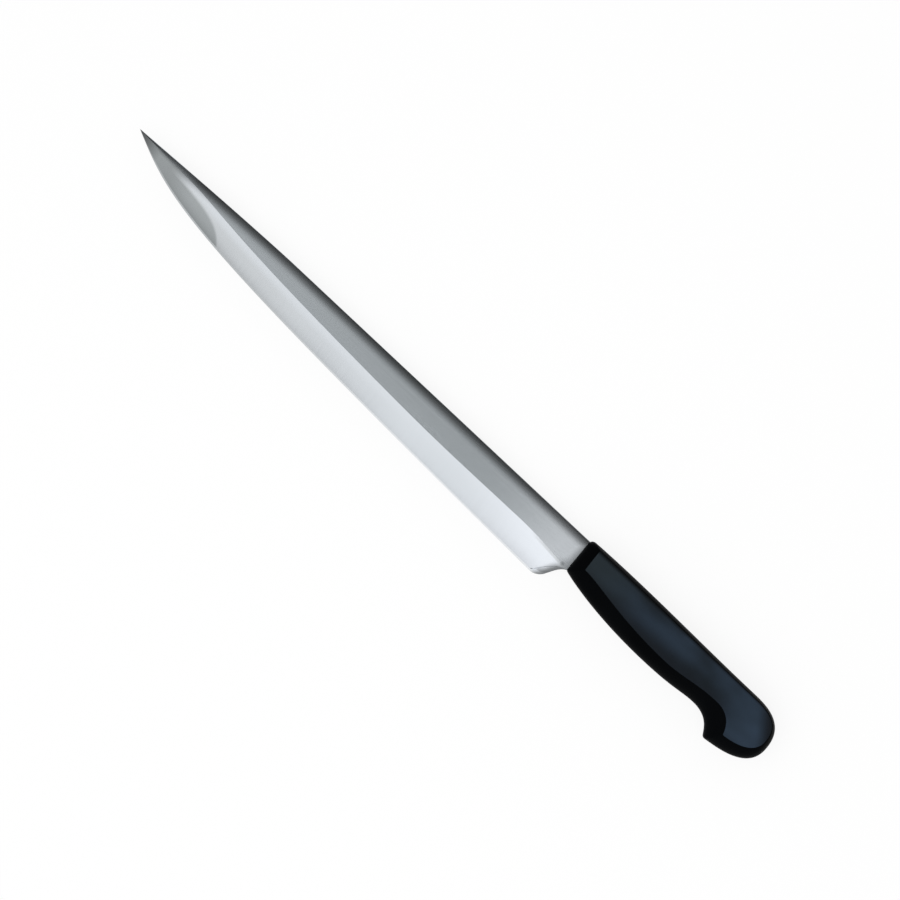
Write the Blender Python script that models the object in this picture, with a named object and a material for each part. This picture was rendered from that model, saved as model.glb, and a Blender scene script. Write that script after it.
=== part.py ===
"""A long slicing and filleting knife: a hollow-ground steel blade whose tang is locked in a moulded handle.

The knife lies on its side, with its tip towards -X, its spine towards +Y and its thickness along Z.
It is set out in metres from one datum: X = 0 is the front of the handle, Y = 0 is the line of the spine,
and Z = 0 is the middle of the blade's thickness. One empty carries both pieces, and moves them so that
the knife's box stands centred over the world's origin, on Z = 0.
"""
import math
from collections import namedtuple

import bmesh
import bpy
from mathutils import Vector

# Blade, seen from the side
BLADE_LENGTH = 0.3000          # from the handle's front to the tip
BLADE_DEPTH = 0.0307           # from the spine line to the cutting edge at the heel
TIP_DROP = 0.0032              # the tip lies this far below the spine line
SPINE_FALL_LENGTH = 0.100      # the spine falls towards the tip over this length
SPINE_FALL_POWER = 1.4
EDGE_HEEL_ANGLE = 1.4          # degrees that the cutting edge rises by at the heel
EDGE_HEEL_PULL = 0.83          # how far its curve keeps to that heading, as a share of its length
EDGE_TIP_ANGLE = 25.0          # degrees that it rises by at the tip
EDGE_TIP_PULL = 0.134

# Blade, across its thickness
BLADE_THICKNESS = 0.0025       # from the tang to the end of the ricasso
TIP_THICKNESS = 0.0012         # what the taper would leave at the tip
RICASSO_LENGTH = 0.028         # full thickness as far as this, before the taper
POINT_LENGTH = 0.014           # the sides draw together over this length to the point
POINT_POWER = 2.2
SPINE_ROUND = 0.0005           # eased edges of the spine
SPINE_ROUND_OF_DEPTH = 0.05    # the most of the blade's depth that they may take near the tip
SPINE_ROUND_OF_SIDE = 0.35     # the most of half its thickness that they may take
POLISH_WIDTH = 0.0050          # the belt rounds the sides over this width below the spine
POLISH_OF_DEPTH = 0.30         # the most of the blade's depth that the belt rounds
POLISH_DROP = 0.00018

# Hollow grind
WHEEL_RADIUS = 0.150           # of the grinding wheel that left the hollow
BEVEL_WIDTH_HEEL = 0.0155
BEVEL_WIDTH_MIDDLE = 0.0131
BEVEL_FLARE_LENGTH = 0.110     # the bevel narrows from its heel width over this length
BEVEL_TIP_SHARE = 0.80         # of the blade's depth, that the bevel may take near the tip
BEVEL_BLEND = 0.0016           # how softly the grind line turns from one rule to the other
BEVEL_LEAST = 0.40             # of that room, which the bevel keeps at the very tip
PLUNGE_LENGTH = 0.035          # the grind line curves down to the choil over this length
EDGE_BEVEL_WIDTH = 0.0008      # the sharpened strip along the cutting edge
EDGE_BEVEL_OF_DEPTH = 0.08     # the most of the blade's depth that the strip takes
EDGE_BEVEL_THICKNESS = 0.0004  # of the blade, where that strip begins

# Heel and choil
HEEL_SET = 0.0081              # the heel's corner lies this far ahead of the handle
HEEL_ROUND = 0.0012
HEEL_ANGLE = 62.0              # degrees that the heel line makes with the edge at the corner
HEEL_PULL = 0.0075
CHOIL_ANGLE = 28.0             # degrees at which the choil leaves the handle
CHOIL_PULL = 0.0016
LIP_WIDTH = 0.0010             # unground steel left along the heel
RUN_OUT = 0.0012               # where the wheel lifts off, between the hollow and that lip
SHEAR_LENGTH = 0.045           # the heel's slant dies out over this length

# Tang and its seat
JOINT_DEPTH = 0.0178           # depth of the blade where it meets the handle
JOINT_LEAN = 0.0011            # the joint's lower end lies this far behind its upper end
TANG_TOP = 0.0040              # from the spine line down to the tang
TANG_DEPTH = 0.0100            # height of the tang at its shoulders
TANG_END_DEPTH = 0.0076
TANG_LENGTH = 0.096
TANG_FALL = 0.0012             # the tang's middle falls by this much towards its end
TANG_END_TURN = 82.0           # degrees that each corner of the tang's end turns through
TANG_HOLE_RADIUS = 0.0024
TANG_HOLE_FIRST = 0.022        # from the handle's front to the first hole
TANG_HOLE_PITCH = 0.028
TANG_HOLE_COUNT = 3
CLEARANCE = 0.0003             # between the tang, its seat and the posts that fill its holes

# Handle, seen from the side
HANDLE_LENGTH = 0.1319
HANDLE_THICKNESS = 0.0180
TOP_RISE = 0.00150             # of the back of the handle over the spine line, at the front
TOP_ANGLE = 1.8                # degrees that the back rises by there
BUTT_SHOULDER = 0.0220         # from the end of the handle to where its back starts to fall
BUTT_SHOULDER_RISE = 0.00070
BUTT_END_DEPTH = 0.01625       # depth at which the butt reaches furthest back
HOOK_FROM_END = 0.0264         # from the end of the handle to the corner of the hook
HOOK_DEPTH = 0.03235
HOOK_UNDER_ANGLE = 8.0         # degrees by which the underside of the hook falls
HOOK_INNER_ANGLE = 50.0        # degrees by which the inner side of the hook falls
NECK_FROM_END = 0.0419
NECK_DEPTH = 0.02285
BELLY_FROM_FRONT = 0.0580
BELLY_DEPTH = 0.02485
BELLY_FRONT_ANGLE = 18.4       # degrees by which the belly falls away from the front
CHIN = 0.0003                  # the handle's lower front corner hangs this far below the blade
FRONT_TOP_ROUND = 0.0028
FRONT_CHIN_ROUND = 0.0010
HOOK_ROUND = 0.0010

# Flat sides of the handle: how far each corner of the flat lies from the outline's own, along X and Y
FLAT_FRONT_TOP = (0.0062, -0.0013)
FLAT_SHOULDER = (0.0020, -0.0015)
FLAT_END = (-0.0032, 0.0031)
FLAT_HOOK = (0.0053, 0.0074)
FLAT_NECK = (0.0060, 0.0078)
FLAT_BELLY = (0.0080, 0.0070)
FLAT_CHIN = (0.0061, 0.0060)
FLAT_ROUND = 0.0006
FLAT_HOOK_UNDER_ANGLE = 6.8    # degrees, as for the outline's own hook
FLAT_HOOK_INNER_ANGLE = 73.0
FLAT_CHIN_ANGLE = -2.0         # degrees by which the flat's border falls as it leaves the chin

# How far a curve keeps to its heading before and after each bend, as a share of the span to the next bend
FRONT_TOP_PULLS = (0.30, 0.33)
SHOULDER_PULLS = (0.33, 0.29)
END_PULLS = (0.59, 0.45)
HOOK_PULLS = (0.25, 0.16)
NECK_PULLS = (0.63, 0.24)
BELLY_PULLS = (0.64, 0.57)
CHIN_PULLS = (0.06, 0.30)
FLAT_SHOULDER_PULLS = (0.33, 0.33)
FLAT_END_PULLS = (0.55, 0.30)
FLAT_HOOK_PULLS = (0.56, 0.60)
FLAT_NECK_PULLS = (0.15, 0.35)
FLAT_BELLY_PULLS = (0.39, 0.53)
FLAT_CHIN_PULLS = (0.14, 0.30)

# How the sides roll over from the outline to the flats: a higher power keeps the wall upright for longer
ROLL_FRONT = 3.0
ROLL_TOP = 3.4
ROLL_END = 2.8
ROLL_HOOK = 2.4
ROLL_BELLY = 2.2

# Fineness of the curves
BEVEL_ROWS = 5
LAND_ROWS = 3
SPINE_ROWS = 2
EDGE_SAMPLES = 160
LEAN_PASSES = 6                # how often a row's lean over the heel is worked out again
COLUMN_LARGEST = 0.0085        # the longest facet along the blade
COLUMN_LEAST = 0.00005         # sections closer than this are one
COLUMN_GROWTH = 1.3            # from one facet to the next, away from the heel and the tip
COLUMN_AT_TIP = 0.00032
RUN_OUT_STEPS = 3
TANG_STEPS = 5
HOLE_SIDES = 24
ROUND_STEPS = 4
ROUND_PULL = 0.55              # makes a curve through a corner nearly an arc
SPAN_STEPS = 3                 # facets of a span, with one more for each of these lengths and turns
SPAN_FACET = 0.011
SPAN_TURN = 11.0
SIDE_LEVELS = (0.0, 0.26, 0.48, 0.66, 0.80, 0.90, 0.97, 1.0)
BLADE_SHARP_ANGLE = 3.5        # degrees between facets that still shade as one surface
HANDLE_SHARP_ANGLE = 20.0
CUTTER_OVERRUN = 0.003         # cutters stand out of what they cut by this much

STEEL_COLOUR = (0.60, 0.61, 0.63, 1.0)
PLASTIC_COLOUR = (0.014, 0.018, 0.024, 1.0)

# A bend of an outline: its place, the headings in degrees that the outline has before and after it, how
# hard the curve on each side keeps to that heading, its rounding and the power of the roll there
Bend = namedtuple("Bend", "point heading_in heading_out pulls rounding roll")


def heading(degrees):
    """The unit direction at an angle from +X, turning towards +Y."""
    angle = math.radians(degrees)
    return Vector((math.cos(angle), math.sin(angle)))


def curve_point(start, start_pull, end_pull, end, t):
    """A point of the cubic curve whose ends are drawn towards the two pull points."""
    s = 1.0 - t
    return start * s**3 + start_pull * 3 * s * s * t + end_pull * 3 * s * t * t + end * t**3


def mix(a, b, t):
    return a + (b - a) * t


def ease(t):
    """Rises from 0 to 1 with level ends, and stays there outside."""
    t = min(max(t, 0.0), 1.0)
    return t * t * (3.0 - 2.0 * t)


def softer_of(a, b, blend):
    """The smaller of two lengths, with the change from one to the other rounded off."""
    return 0.5 * (a + b - math.hypot(a - b, blend))


def read_curve(points, at, along, across):
    """Reads a sampled curve: its coordinate number `across` where its number `along` has the value `at`."""
    for first, second in zip(points, points[1:]):
        if (first[along] - at) * (second[along] - at) <= 0.0 and first[along] != second[along]:
            share = (at - first[along]) / (second[along] - first[along])
            return mix(first[across], second[across], share)
    nearest = min((points[0], points[-1]), key=lambda point: abs(point[along] - at))
    return nearest[across]


# Lines of the blade. A place along it is given as its distance ahead of the handle's front.
def spine_height(ahead):
    fall = (ahead - (BLADE_LENGTH - SPINE_FALL_LENGTH)) / SPINE_FALL_LENGTH
    return -TIP_DROP * max(fall, 0.0) ** SPINE_FALL_POWER


def cutting_edge():
    """The cutting edge as points of one curve from the heel to the tip, as (distance ahead, height)."""
    heel = Vector((HEEL_SET, -BLADE_DEPTH))
    tip = Vector((BLADE_LENGTH, -TIP_DROP))
    chord = (tip - heel).length
    heel_pull = heel + heading(EDGE_HEEL_ANGLE) * EDGE_HEEL_PULL * chord
    tip_pull = tip - heading(EDGE_TIP_ANGLE) * EDGE_TIP_PULL * chord
    steps = range(EDGE_SAMPLES + 1)
    return [curve_point(heel, heel_pull, tip_pull, tip, step / EDGE_SAMPLES) for step in steps]


EDGE = cutting_edge()


def edge_height(ahead):
    return read_curve(EDGE, ahead, 0, 1)


def bevel_width(ahead):
    """Width of the hollow: the grinder's own width, less near the tip, and less where it plunges."""
    width = mix(BEVEL_WIDTH_HEEL, BEVEL_WIDTH_MIDDLE, ease(ahead / BEVEL_FLARE_LENGTH))
    room = BEVEL_TIP_SHARE * (spine_height(ahead) - edge_height(ahead))
    plunge = max(1.0 - ahead / PLUNGE_LENGTH, 0.0) ** 2
    at_choil = BLADE_DEPTH - JOINT_DEPTH
    width -= (BEVEL_WIDTH_HEEL - at_choil) * plunge
    return max(softer_of(width, room, BEVEL_BLEND), BEVEL_LEAST * room)


def half_thickness(ahead):
    """Half the thickness of the flat side, before the sides draw together to the point."""
    taper = max(ahead - RICASSO_LENGTH, 0.0) / (BLADE_LENGTH - RICASSO_LENGTH)
    return 0.5 * mix(BLADE_THICKNESS, TIP_THICKNESS, min(taper, 1.0))


def point_share(ahead):
    """Share of its thickness that the blade keeps near the point."""
    left = min((BLADE_LENGTH - ahead) / POINT_LENGTH, 1.0)
    return 1.0 - (1.0 - max(left, 0.0)) ** POINT_POWER


def joint_x(height):
    """The handle's front face, which leans a little."""
    return JOINT_LEAN * (-height / JOINT_DEPTH - 0.5)


def rear_line():
    """The blade's rear end below the joint, from the handle's corner round the choil to the heel."""
    corner = Vector((joint_x(-JOINT_DEPTH) - CLEARANCE, -JOINT_DEPTH))
    heel = Vector((-HEEL_SET, -BLADE_DEPTH))
    corner_pull = corner + heading(180.0 + CHOIL_ANGLE) * CHOIL_PULL
    heel_pull = heel - heading(180.0 + HEEL_ANGLE) * HEEL_PULL
    steps = range(EDGE_SAMPLES + 1)
    return [curve_point(corner, corner_pull, heel_pull, heel, step / EDGE_SAMPLES) for step in steps]


REAR = rear_line()


def rear_lean(height):
    """How far ahead of the datum the blade's rear end lies at this height."""
    if height >= -JOINT_DEPTH:
        return CLEARANCE - joint_x(height)
    return -read_curve(REAR, height, 1, 0)


# Section of the blade. A row runs the length of the blade, from the cutting edge up to the spine.
ROW_EDGE = 0
ROW_GRIND = BEVEL_ROWS + 1
ROW_TANG_BOTTOM = ROW_GRIND + 1
ROW_TANG_TOP = ROW_GRIND + 2
ROW_EASED = ROW_TANG_TOP + LAND_ROWS
ROW_SPINE = ROW_EASED + SPINE_ROWS


def spine_round(ahead):
    depth = spine_height(ahead) - edge_height(ahead)
    return min(SPINE_ROUND, SPINE_ROUND_OF_DEPTH * depth, SPINE_ROUND_OF_SIDE * half_thickness(ahead))


def row_height(row, ahead, raised):
    """Height of a row at a place along the blade; `raised` lifts the edge where the heel is rounded."""
    spine = spine_height(ahead)
    depth = spine - edge_height(ahead)
    edge = edge_height(ahead) + raised
    grind = edge_height(ahead) + bevel_width(ahead)
    strip = edge + min(EDGE_BEVEL_WIDTH, EDGE_BEVEL_OF_DEPTH * depth)
    eased = spine - spine_round(ahead)
    tang_bottom = mix(grind, spine, 1.0 - (TANG_TOP + TANG_DEPTH) / JOINT_DEPTH)
    tang_top = mix(grind, spine, 1.0 - TANG_TOP / JOINT_DEPTH)
    if row == ROW_EDGE:
        return edge
    if row <= ROW_GRIND:
        return mix(strip, grind, (row - 1) / BEVEL_ROWS)
    if row == ROW_TANG_BOTTOM:
        return tang_bottom
    if row < ROW_EASED:
        return mix(tang_top, eased, (row - ROW_TANG_TOP) / LAND_ROWS)
    turn = math.radians(90.0) * (row - ROW_EASED) / SPINE_ROWS
    return eased + spine_round(ahead) * math.sin(turn)


def row_thickness(row, ahead, ground):
    """Half the blade's thickness on a row; `ground` is 0 on unground steel and 1 where the hollow is full."""
    side = half_thickness(ahead)
    depth = spine_height(ahead) - edge_height(ahead)
    if row >= ROW_TANG_BOTTOM:
        height = row_height(row, ahead, 0.0)
        width = min(POLISH_WIDTH, POLISH_OF_DEPTH * depth)
        polished = max(1.0 - (spine_height(ahead) - height) / width, 0.0)
        side -= POLISH_DROP * polished**2
        if row > ROW_EASED:
            turn = math.radians(90.0) * (row - ROW_EASED) / SPINE_ROWS
            side -= spine_round(ahead) * (1.0 - math.cos(turn))
    elif row < ROW_GRIND:
        if row == ROW_EDGE:
            hollow = 0.0
        else:
            down = 1.0 - (row - 1) / BEVEL_ROWS
            chord = bevel_width(ahead)
            sag = chord**2 * down * (1.0 - down) / (2.0 * WHEEL_RADIUS)
            hollow = mix(side, 0.5 * EDGE_BEVEL_THICKNESS, down) - sag
        side = mix(side, hollow, ground)
    return side * point_share(ahead)


def graded(start, end, first):
    """Places from start to end whose steps grow from the first up to the largest."""
    places = [start]
    step = first
    while places[-1] + step + 0.5 * step < end:
        places.append(places[-1] + step)
        step = min(step * COLUMN_GROWTH, COLUMN_LARGEST)
    return places


def blade_columns():
    """Places of the sections, as (distance ahead, how much it is ground, how far the edge is lifted)."""
    ground = LIP_WIDTH + RUN_OUT
    middle = 0.5 * BLADE_LENGTH
    turns = [math.radians(90.0) * step / ROUND_STEPS for step in range(ROUND_STEPS + 1)]
    places = [HEEL_ROUND * (1.0 - math.cos(turn)) for turn in turns]
    places += [LIP_WIDTH + RUN_OUT * step / RUN_OUT_STEPS for step in range(RUN_OUT_STEPS + 1)]
    places += graded(ground, middle, RUN_OUT)[1:]
    places.append(middle)
    places += [BLADE_LENGTH - place for place in graded(0.0, BLADE_LENGTH - middle, COLUMN_AT_TIP)[1:]]
    columns = []
    for place in sorted(places):
        if columns and place - columns[-1][0] < COLUMN_LEAST:
            continue
        inside = max(HEEL_ROUND - place, 0.0)
        lift = HEEL_ROUND - math.sqrt(HEEL_ROUND**2 - inside**2)
        columns.append((place, ease((place - LIP_WIDTH) / RUN_OUT), lift))
    return columns


def blade_place(row, column):
    """Where a row crosses a section, as (distance ahead, height)."""
    place, _, lift = column
    upright = LIP_WIDTH + RUN_OUT
    shear = 1.0 - ease((place - upright) / SHEAR_LENGTH)
    lean = 0.0
    for _ in range(LEAN_PASSES):
        height = row_height(row, place + lean * shear, lift)
        lean = rear_lean(height)
    ahead = place + lean * shear
    return ahead, row_height(row, ahead, lift)


# Tang
def tang_middle(x):
    return -(TANG_TOP + 0.5 * TANG_DEPTH) - TANG_FALL * max(x, 0.0) / TANG_LENGTH


def tang_profile(grown):
    """The tang's outline behind its shoulders as (x, half height), grown by a clearance all round."""
    end_half = 0.5 * TANG_END_DEPTH
    straight = TANG_LENGTH - end_half
    profile = []
    for step in range(TANG_STEPS + 1):
        share = step / TANG_STEPS
        profile.append((straight * share, 0.5 * mix(TANG_DEPTH, TANG_END_DEPTH, share) + grown))
    for step in range(1, TANG_STEPS + 1):
        turn = math.radians(TANG_END_TURN) * step / TANG_STEPS
        profile.append((straight + (end_half + grown) * math.sin(turn), (end_half + grown) * math.cos(turn)))
    return profile


def tang_holes():
    return [TANG_HOLE_FIRST + TANG_HOLE_PITCH * number for number in range(TANG_HOLE_COUNT)]


class SheetMesh:
    """A sheet of steel, built as its upper face, mirrored below and closed by a wall round its outline."""

    def __init__(self):
        self.mesh = bmesh.new()
        self.corners = {}

    def add(self, key, x, y, half):
        """Adds a place on both faces. With no thickness there, the two faces share one point."""
        upper = self.mesh.verts.new((x, y, half))
        lower = upper if half <= 0.0 else self.mesh.verts.new((x, y, -half))
        self.corners[key] = (upper, lower)

    def face(self, points):
        """Adds a face through points, leaving out those that fall together."""
        kept = []
        for point in points:
            if point not in kept:
                kept.append(point)
        if len(kept) > 2:
            self.mesh.faces.new(kept)

    def patch(self, keys):
        """Adds the same patch to the upper and the lower face."""
        self.face([self.corners[key][0] for key in keys])
        self.face([self.corners[key][1] for key in reversed(keys)])

    def wall(self, outline):
        """Closes the sheet along its outline."""
        for first, second in zip(outline, outline[1:] + outline[:1]):
            upper_a, lower_a = self.corners[first]
            upper_b, lower_b = self.corners[second]
            self.face([upper_b, upper_a, lower_a, lower_b])


def make_blade():
    """The blade and its tang, ground from one sheet."""
    sheet = SheetMesh()
    columns = blade_columns()
    rows = range(ROW_SPINE + 1)
    for number, column in enumerate(columns):
        for row in rows:
            ahead, height = blade_place(row, column)
            sheet.add((number, row), -ahead, height, row_thickness(row, ahead, column[1]))
    sheet.add("tip", -BLADE_LENGTH, -TIP_DROP, 0.0)
    last = len(columns) - 1
    for row in rows[:-1]:
        for number in range(last):
            sheet.patch([(number, row), (number, row + 1), (number + 1, row + 1), (number + 1, row)])
        sheet.patch([(last, row), (last, row + 1), "tip"])

    stations = tang_profile(0.0)[1:]
    previous = (0, ROW_TANG_BOTTOM), (0, ROW_TANG_TOP)
    lower_side, upper_side = [], []
    for number, (x, half) in enumerate(stations):
        low, high = ("tang low", number), ("tang high", number)
        sheet.add(low, x, tang_middle(x) - half, 0.5 * BLADE_THICKNESS)
        sheet.add(high, x, tang_middle(x) + half, 0.5 * BLADE_THICKNESS)
        sheet.patch([low, high, previous[1], previous[0]])
        previous = low, high
        lower_side.append(low)
        upper_side.append(high)

    outline = ["tip"]
    outline += [(number, ROW_EDGE) for number in range(last, -1, -1)]
    outline += [(0, row) for row in range(1, ROW_TANG_BOTTOM + 1)]
    outline += lower_side + upper_side[::-1]
    outline += [(0, row) for row in range(ROW_TANG_TOP, ROW_SPINE + 1)]
    outline += [(number, ROW_SPINE) for number in range(1, last + 1)]
    sheet.wall(outline)
    blade = finish_mesh("blade", sheet.mesh, BLADE_SHARP_ANGLE)
    for x in tang_holes():
        hole = make_rod("tang_hole_cutter", x, TANG_HOLE_RADIUS, BLADE_THICKNESS)
        subtract(blade, hole)
    return blade


# Outlines of the handle
def handle_bends():
    """The bends of the handle's outline, clockwise from its upper front corner."""
    chin = JOINT_DEPTH + CHIN
    front = Vector((joint_x(TOP_RISE), TOP_RISE))
    foot = Vector((joint_x(-chin), -chin))
    up = math.degrees(math.atan2(front.y - foot.y, front.x - foot.x))
    shoulder = Vector((HANDLE_LENGTH - BUTT_SHOULDER, BUTT_SHOULDER_RISE))
    end = Vector((HANDLE_LENGTH, -BUTT_END_DEPTH))
    hook = Vector((HANDLE_LENGTH - HOOK_FROM_END, -HOOK_DEPTH))
    neck = Vector((HANDLE_LENGTH - NECK_FROM_END, -NECK_DEPTH))
    belly = Vector((BELLY_FROM_FRONT, -BELLY_DEPTH))
    under = 180.0 + HOOK_UNDER_ANGLE
    inner = 180.0 - HOOK_INNER_ANGLE
    fall = 180.0 - BELLY_FRONT_ANGLE
    return [
        Bend(front, up, TOP_ANGLE, FRONT_TOP_PULLS, FRONT_TOP_ROUND, ROLL_TOP),
        Bend(shoulder, 0.0, 0.0, SHOULDER_PULLS, 0.0, ROLL_TOP),
        Bend(end, -90.0, -90.0, END_PULLS, 0.0, ROLL_END),
        Bend(hook, under, inner, HOOK_PULLS, HOOK_ROUND, ROLL_HOOK),
        Bend(neck, 180.0, 180.0, NECK_PULLS, 0.0, ROLL_BELLY),
        Bend(belly, 180.0, 180.0, BELLY_PULLS, 0.0, ROLL_BELLY),
        Bend(foot, fall, up, CHIN_PULLS, FRONT_CHIN_ROUND, ROLL_FRONT),
    ]


def flat_bends():
    """The bends of the flat side's border, each set in from the outline's bend of the same number."""
    insets = (FLAT_FRONT_TOP, FLAT_SHOULDER, FLAT_END, FLAT_HOOK, FLAT_NECK, FLAT_BELLY, FLAT_CHIN)
    places = [bend.point + Vector(inset) for bend, inset in zip(handle_bends(), insets)]
    front, shoulder, end, hook, neck, belly, foot = places
    up = math.degrees(math.atan2(front.y - foot.y, front.x - foot.x))
    under = 180.0 + FLAT_HOOK_UNDER_ANGLE
    inner = 180.0 - FLAT_HOOK_INNER_ANGLE
    fall = 180.0 - FLAT_CHIN_ANGLE
    return [
        Bend(front, up, 0.0, FRONT_TOP_PULLS, FLAT_ROUND, ROLL_TOP),
        Bend(shoulder, 0.0, 0.0, FLAT_SHOULDER_PULLS, 0.0, ROLL_TOP),
        Bend(end, -90.0, -90.0, FLAT_END_PULLS, 0.0, ROLL_END),
        Bend(hook, under, inner, FLAT_HOOK_PULLS, FLAT_ROUND, ROLL_HOOK),
        Bend(neck, 180.0, 180.0, FLAT_NECK_PULLS, 0.0, ROLL_BELLY),
        Bend(belly, 180.0, 180.0, FLAT_BELLY_PULLS, 0.0, ROLL_BELLY),
        Bend(foot, fall, up, FLAT_CHIN_PULLS, FLAT_ROUND, ROLL_FRONT),
    ]


def span_steps():
    """How many facets each span of the handle's outlines has: more where it is longer or turns more."""
    bends = handle_bends()
    steps = []
    for bend, following in zip(bends, bends[1:] + bends[:1]):
        length = (following.point - bend.point).length
        turn = abs((following.heading_in - bend.heading_out + 180.0) % 360.0 - 180.0)
        steps.append(SPAN_STEPS + round(length / SPAN_FACET + turn / SPAN_TURN))
    return steps


def outline_of(bends):
    """Points of a closed outline, as (place, power of the roll), with the same count for like bends."""
    points = []
    for bend, following, steps in zip(bends, bends[1:] + bends[:1], span_steps()):
        leave = heading(bend.heading_out)
        arrive = heading(following.heading_in)
        if bend.rounding > 0.0:
            before = bend.point - heading(bend.heading_in) * bend.rounding
            after = bend.point + leave * bend.rounding
            before_pull = mix(before, bend.point, ROUND_PULL)
            after_pull = mix(after, bend.point, ROUND_PULL)
            for step in range(ROUND_STEPS):
                place = curve_point(before, before_pull, after_pull, after, step / ROUND_STEPS)
                points.append((place, bend.roll))
        start = bend.point + leave * bend.rounding
        end = following.point - arrive * following.rounding
        chord = (end - start).length
        start_pull = start + leave * bend.pulls[1] * chord
        end_pull = end - arrive * following.pulls[0] * chord
        for step in range(steps):
            t = step / steps
            place = curve_point(start, start_pull, end_pull, end, t)
            points.append((place, mix(bend.roll, following.roll, t)))
    return points


def make_handle():
    """The one-piece moulding: flat sides that roll over to the outline, round a seat for the tang."""
    outer = outline_of(handle_bends())
    flat = outline_of(flat_bends())
    half = 0.5 * HANDLE_THICKNESS
    levels = [-level for level in reversed(SIDE_LEVELS[1:])] + list(SIDE_LEVELS)
    mesh = bmesh.new()
    loops = []
    for level in levels:
        loop = []
        for (place, roll), (inner, _) in zip(outer, flat):
            spot = mix(place, inner, abs(level) ** roll)
            loop.append(mesh.verts.new((spot.x, spot.y, level * half)))
        loops.append(loop)
    for lower, upper in zip(loops, loops[1:]):
        for number in range(len(lower)):
            following = (number + 1) % len(lower)
            mesh.faces.new((lower[number], lower[following], upper[following], upper[number]))
    mesh.faces.new(loops[0][::-1])
    mesh.faces.new(loops[-1])
    handle = finish_mesh("handle", mesh)
    subtract(handle, make_tang_seat())
    return handle


def make_tang_seat():
    """The hollow that the tang leaves in the moulding, less the posts that fill the tang's holes."""
    half = 0.5 * BLADE_THICKNESS + CLEARANCE
    mouth = joint_x(0.0) - CUTTER_OVERRUN
    profile = tang_profile(CLEARANCE)
    profile[0] = (mouth, profile[0][1])
    lower = [Vector((x, tang_middle(x) - tall)) for x, tall in profile]
    upper = [Vector((x, tang_middle(x) + tall)) for x, tall in profile]
    outline = lower + upper[::-1]
    mesh = bmesh.new()
    low = [mesh.verts.new((point.x, point.y, -half)) for point in outline]
    high = [mesh.verts.new((point.x, point.y, half)) for point in outline]
    mesh.faces.new(low[::-1])
    mesh.faces.new(high)
    for number in range(len(outline)):
        following = (number + 1) % len(outline)
        mesh.faces.new((low[number], low[following], high[following], high[number]))
    seat = finish_mesh("tang_seat_cutter", mesh)
    for x in tang_holes():
        post = make_rod("tang_post_cutter", x, TANG_HOLE_RADIUS - CLEARANCE, 2.0 * half)
        subtract(seat, post)
    return as_cutter(seat)


# Tools of the model
def finish_mesh(name, mesh, sharp_angle=HANDLE_SHARP_ANGLE):
    """Turns a bmesh into an object whose faces point outwards."""
    bmesh.ops.recalc_face_normals(mesh, faces=mesh.faces[:])
    data = bpy.data.meshes.new(name)
    mesh.to_mesh(data)
    mesh.free()
    data.shade_smooth()
    data.set_sharp_from_angle(angle=math.radians(sharp_angle))
    item = bpy.data.objects.new(name, data)
    bpy.context.scene.collection.objects.link(item)
    return item


def make_rod(name, x, radius, through):
    """An upright rod on the tang's middle line, that stands out of a sheet of this thickness."""
    mesh = bmesh.new()
    depth = through + 2.0 * CUTTER_OVERRUN
    bmesh.ops.create_cone(
        mesh, cap_ends=True, segments=HOLE_SIDES, radius1=radius, radius2=radius, depth=depth,
    )
    rod = finish_mesh(name, mesh)
    rod.location = (x, tang_middle(x), 0.0)
    return as_cutter(rod)


def as_cutter(item):
    item.hide_render = True
    item.display_type = "WIRE"
    return item


def subtract(item, cutter):
    """Cuts one object out of another."""
    cut = item.modifiers.new(cutter.name, "BOOLEAN")
    cut.operation = "DIFFERENCE"
    cut.solver = "EXACT"
    cut.object = cutter


def steel():
    """Satin stainless steel."""
    material = bpy.data.materials.new("satin_steel")
    material.use_nodes = True
    shader = material.node_tree.nodes["Principled BSDF"]
    shader.inputs["Base Color"].default_value = STEEL_COLOUR
    shader.inputs["Metallic"].default_value = 1.0
    shader.inputs["Roughness"].default_value = 0.30
    return material


def plastic():
    """Blue-black moulded plastic with a fine matt grain."""
    material = bpy.data.materials.new("black_plastic")
    material.use_nodes = True
    shader = material.node_tree.nodes["Principled BSDF"]
    shader.inputs["Base Color"].default_value = PLASTIC_COLOUR
    shader.inputs["Roughness"].default_value = 0.45
    return material


def make_carrier():
    """The empty that stands the knife's box centred over the origin, on Z = 0."""
    across = [place.y for place, _ in outline_of(handle_bends())] + [point[1] for point in EDGE]
    carrier = bpy.data.objects.new("knife", None)
    bpy.context.scene.collection.objects.link(carrier)
    middle_x = 0.5 * (HANDLE_LENGTH - BLADE_LENGTH)
    middle_y = 0.5 * (max(across) + min(across))
    carrier.location = (-middle_x, -middle_y, 0.5 * HANDLE_THICKNESS)
    return carrier


def main():
    for item in list(bpy.data.objects):
        bpy.data.objects.remove(item, do_unlink=True)
    blade = make_blade()
    blade.data.materials.append(steel())
    handle = make_handle()
    handle.data.materials.append(plastic())
    carrier = make_carrier()
    for item in list(bpy.data.objects):
        if item is not carrier:
            item.parent = carrier


main()
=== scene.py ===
"""Dresses a long slicing and fillet knife: hollow-ground steel in a moulded handle, on a pale studio floor.

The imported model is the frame. It lies with its tip towards -X, its spine towards +Y and its thickness
along Z. Sizes are in metres and angles in degrees. Every piece is set out from one datum: the front of the
handle, the line of the spine and the middle of the blade's thickness.
"""

import logging
import math
from dataclasses import dataclass
from enum import Enum
from functools import cached_property
from typing import Dict, List, Optional, Sequence, Tuple, Union

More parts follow.
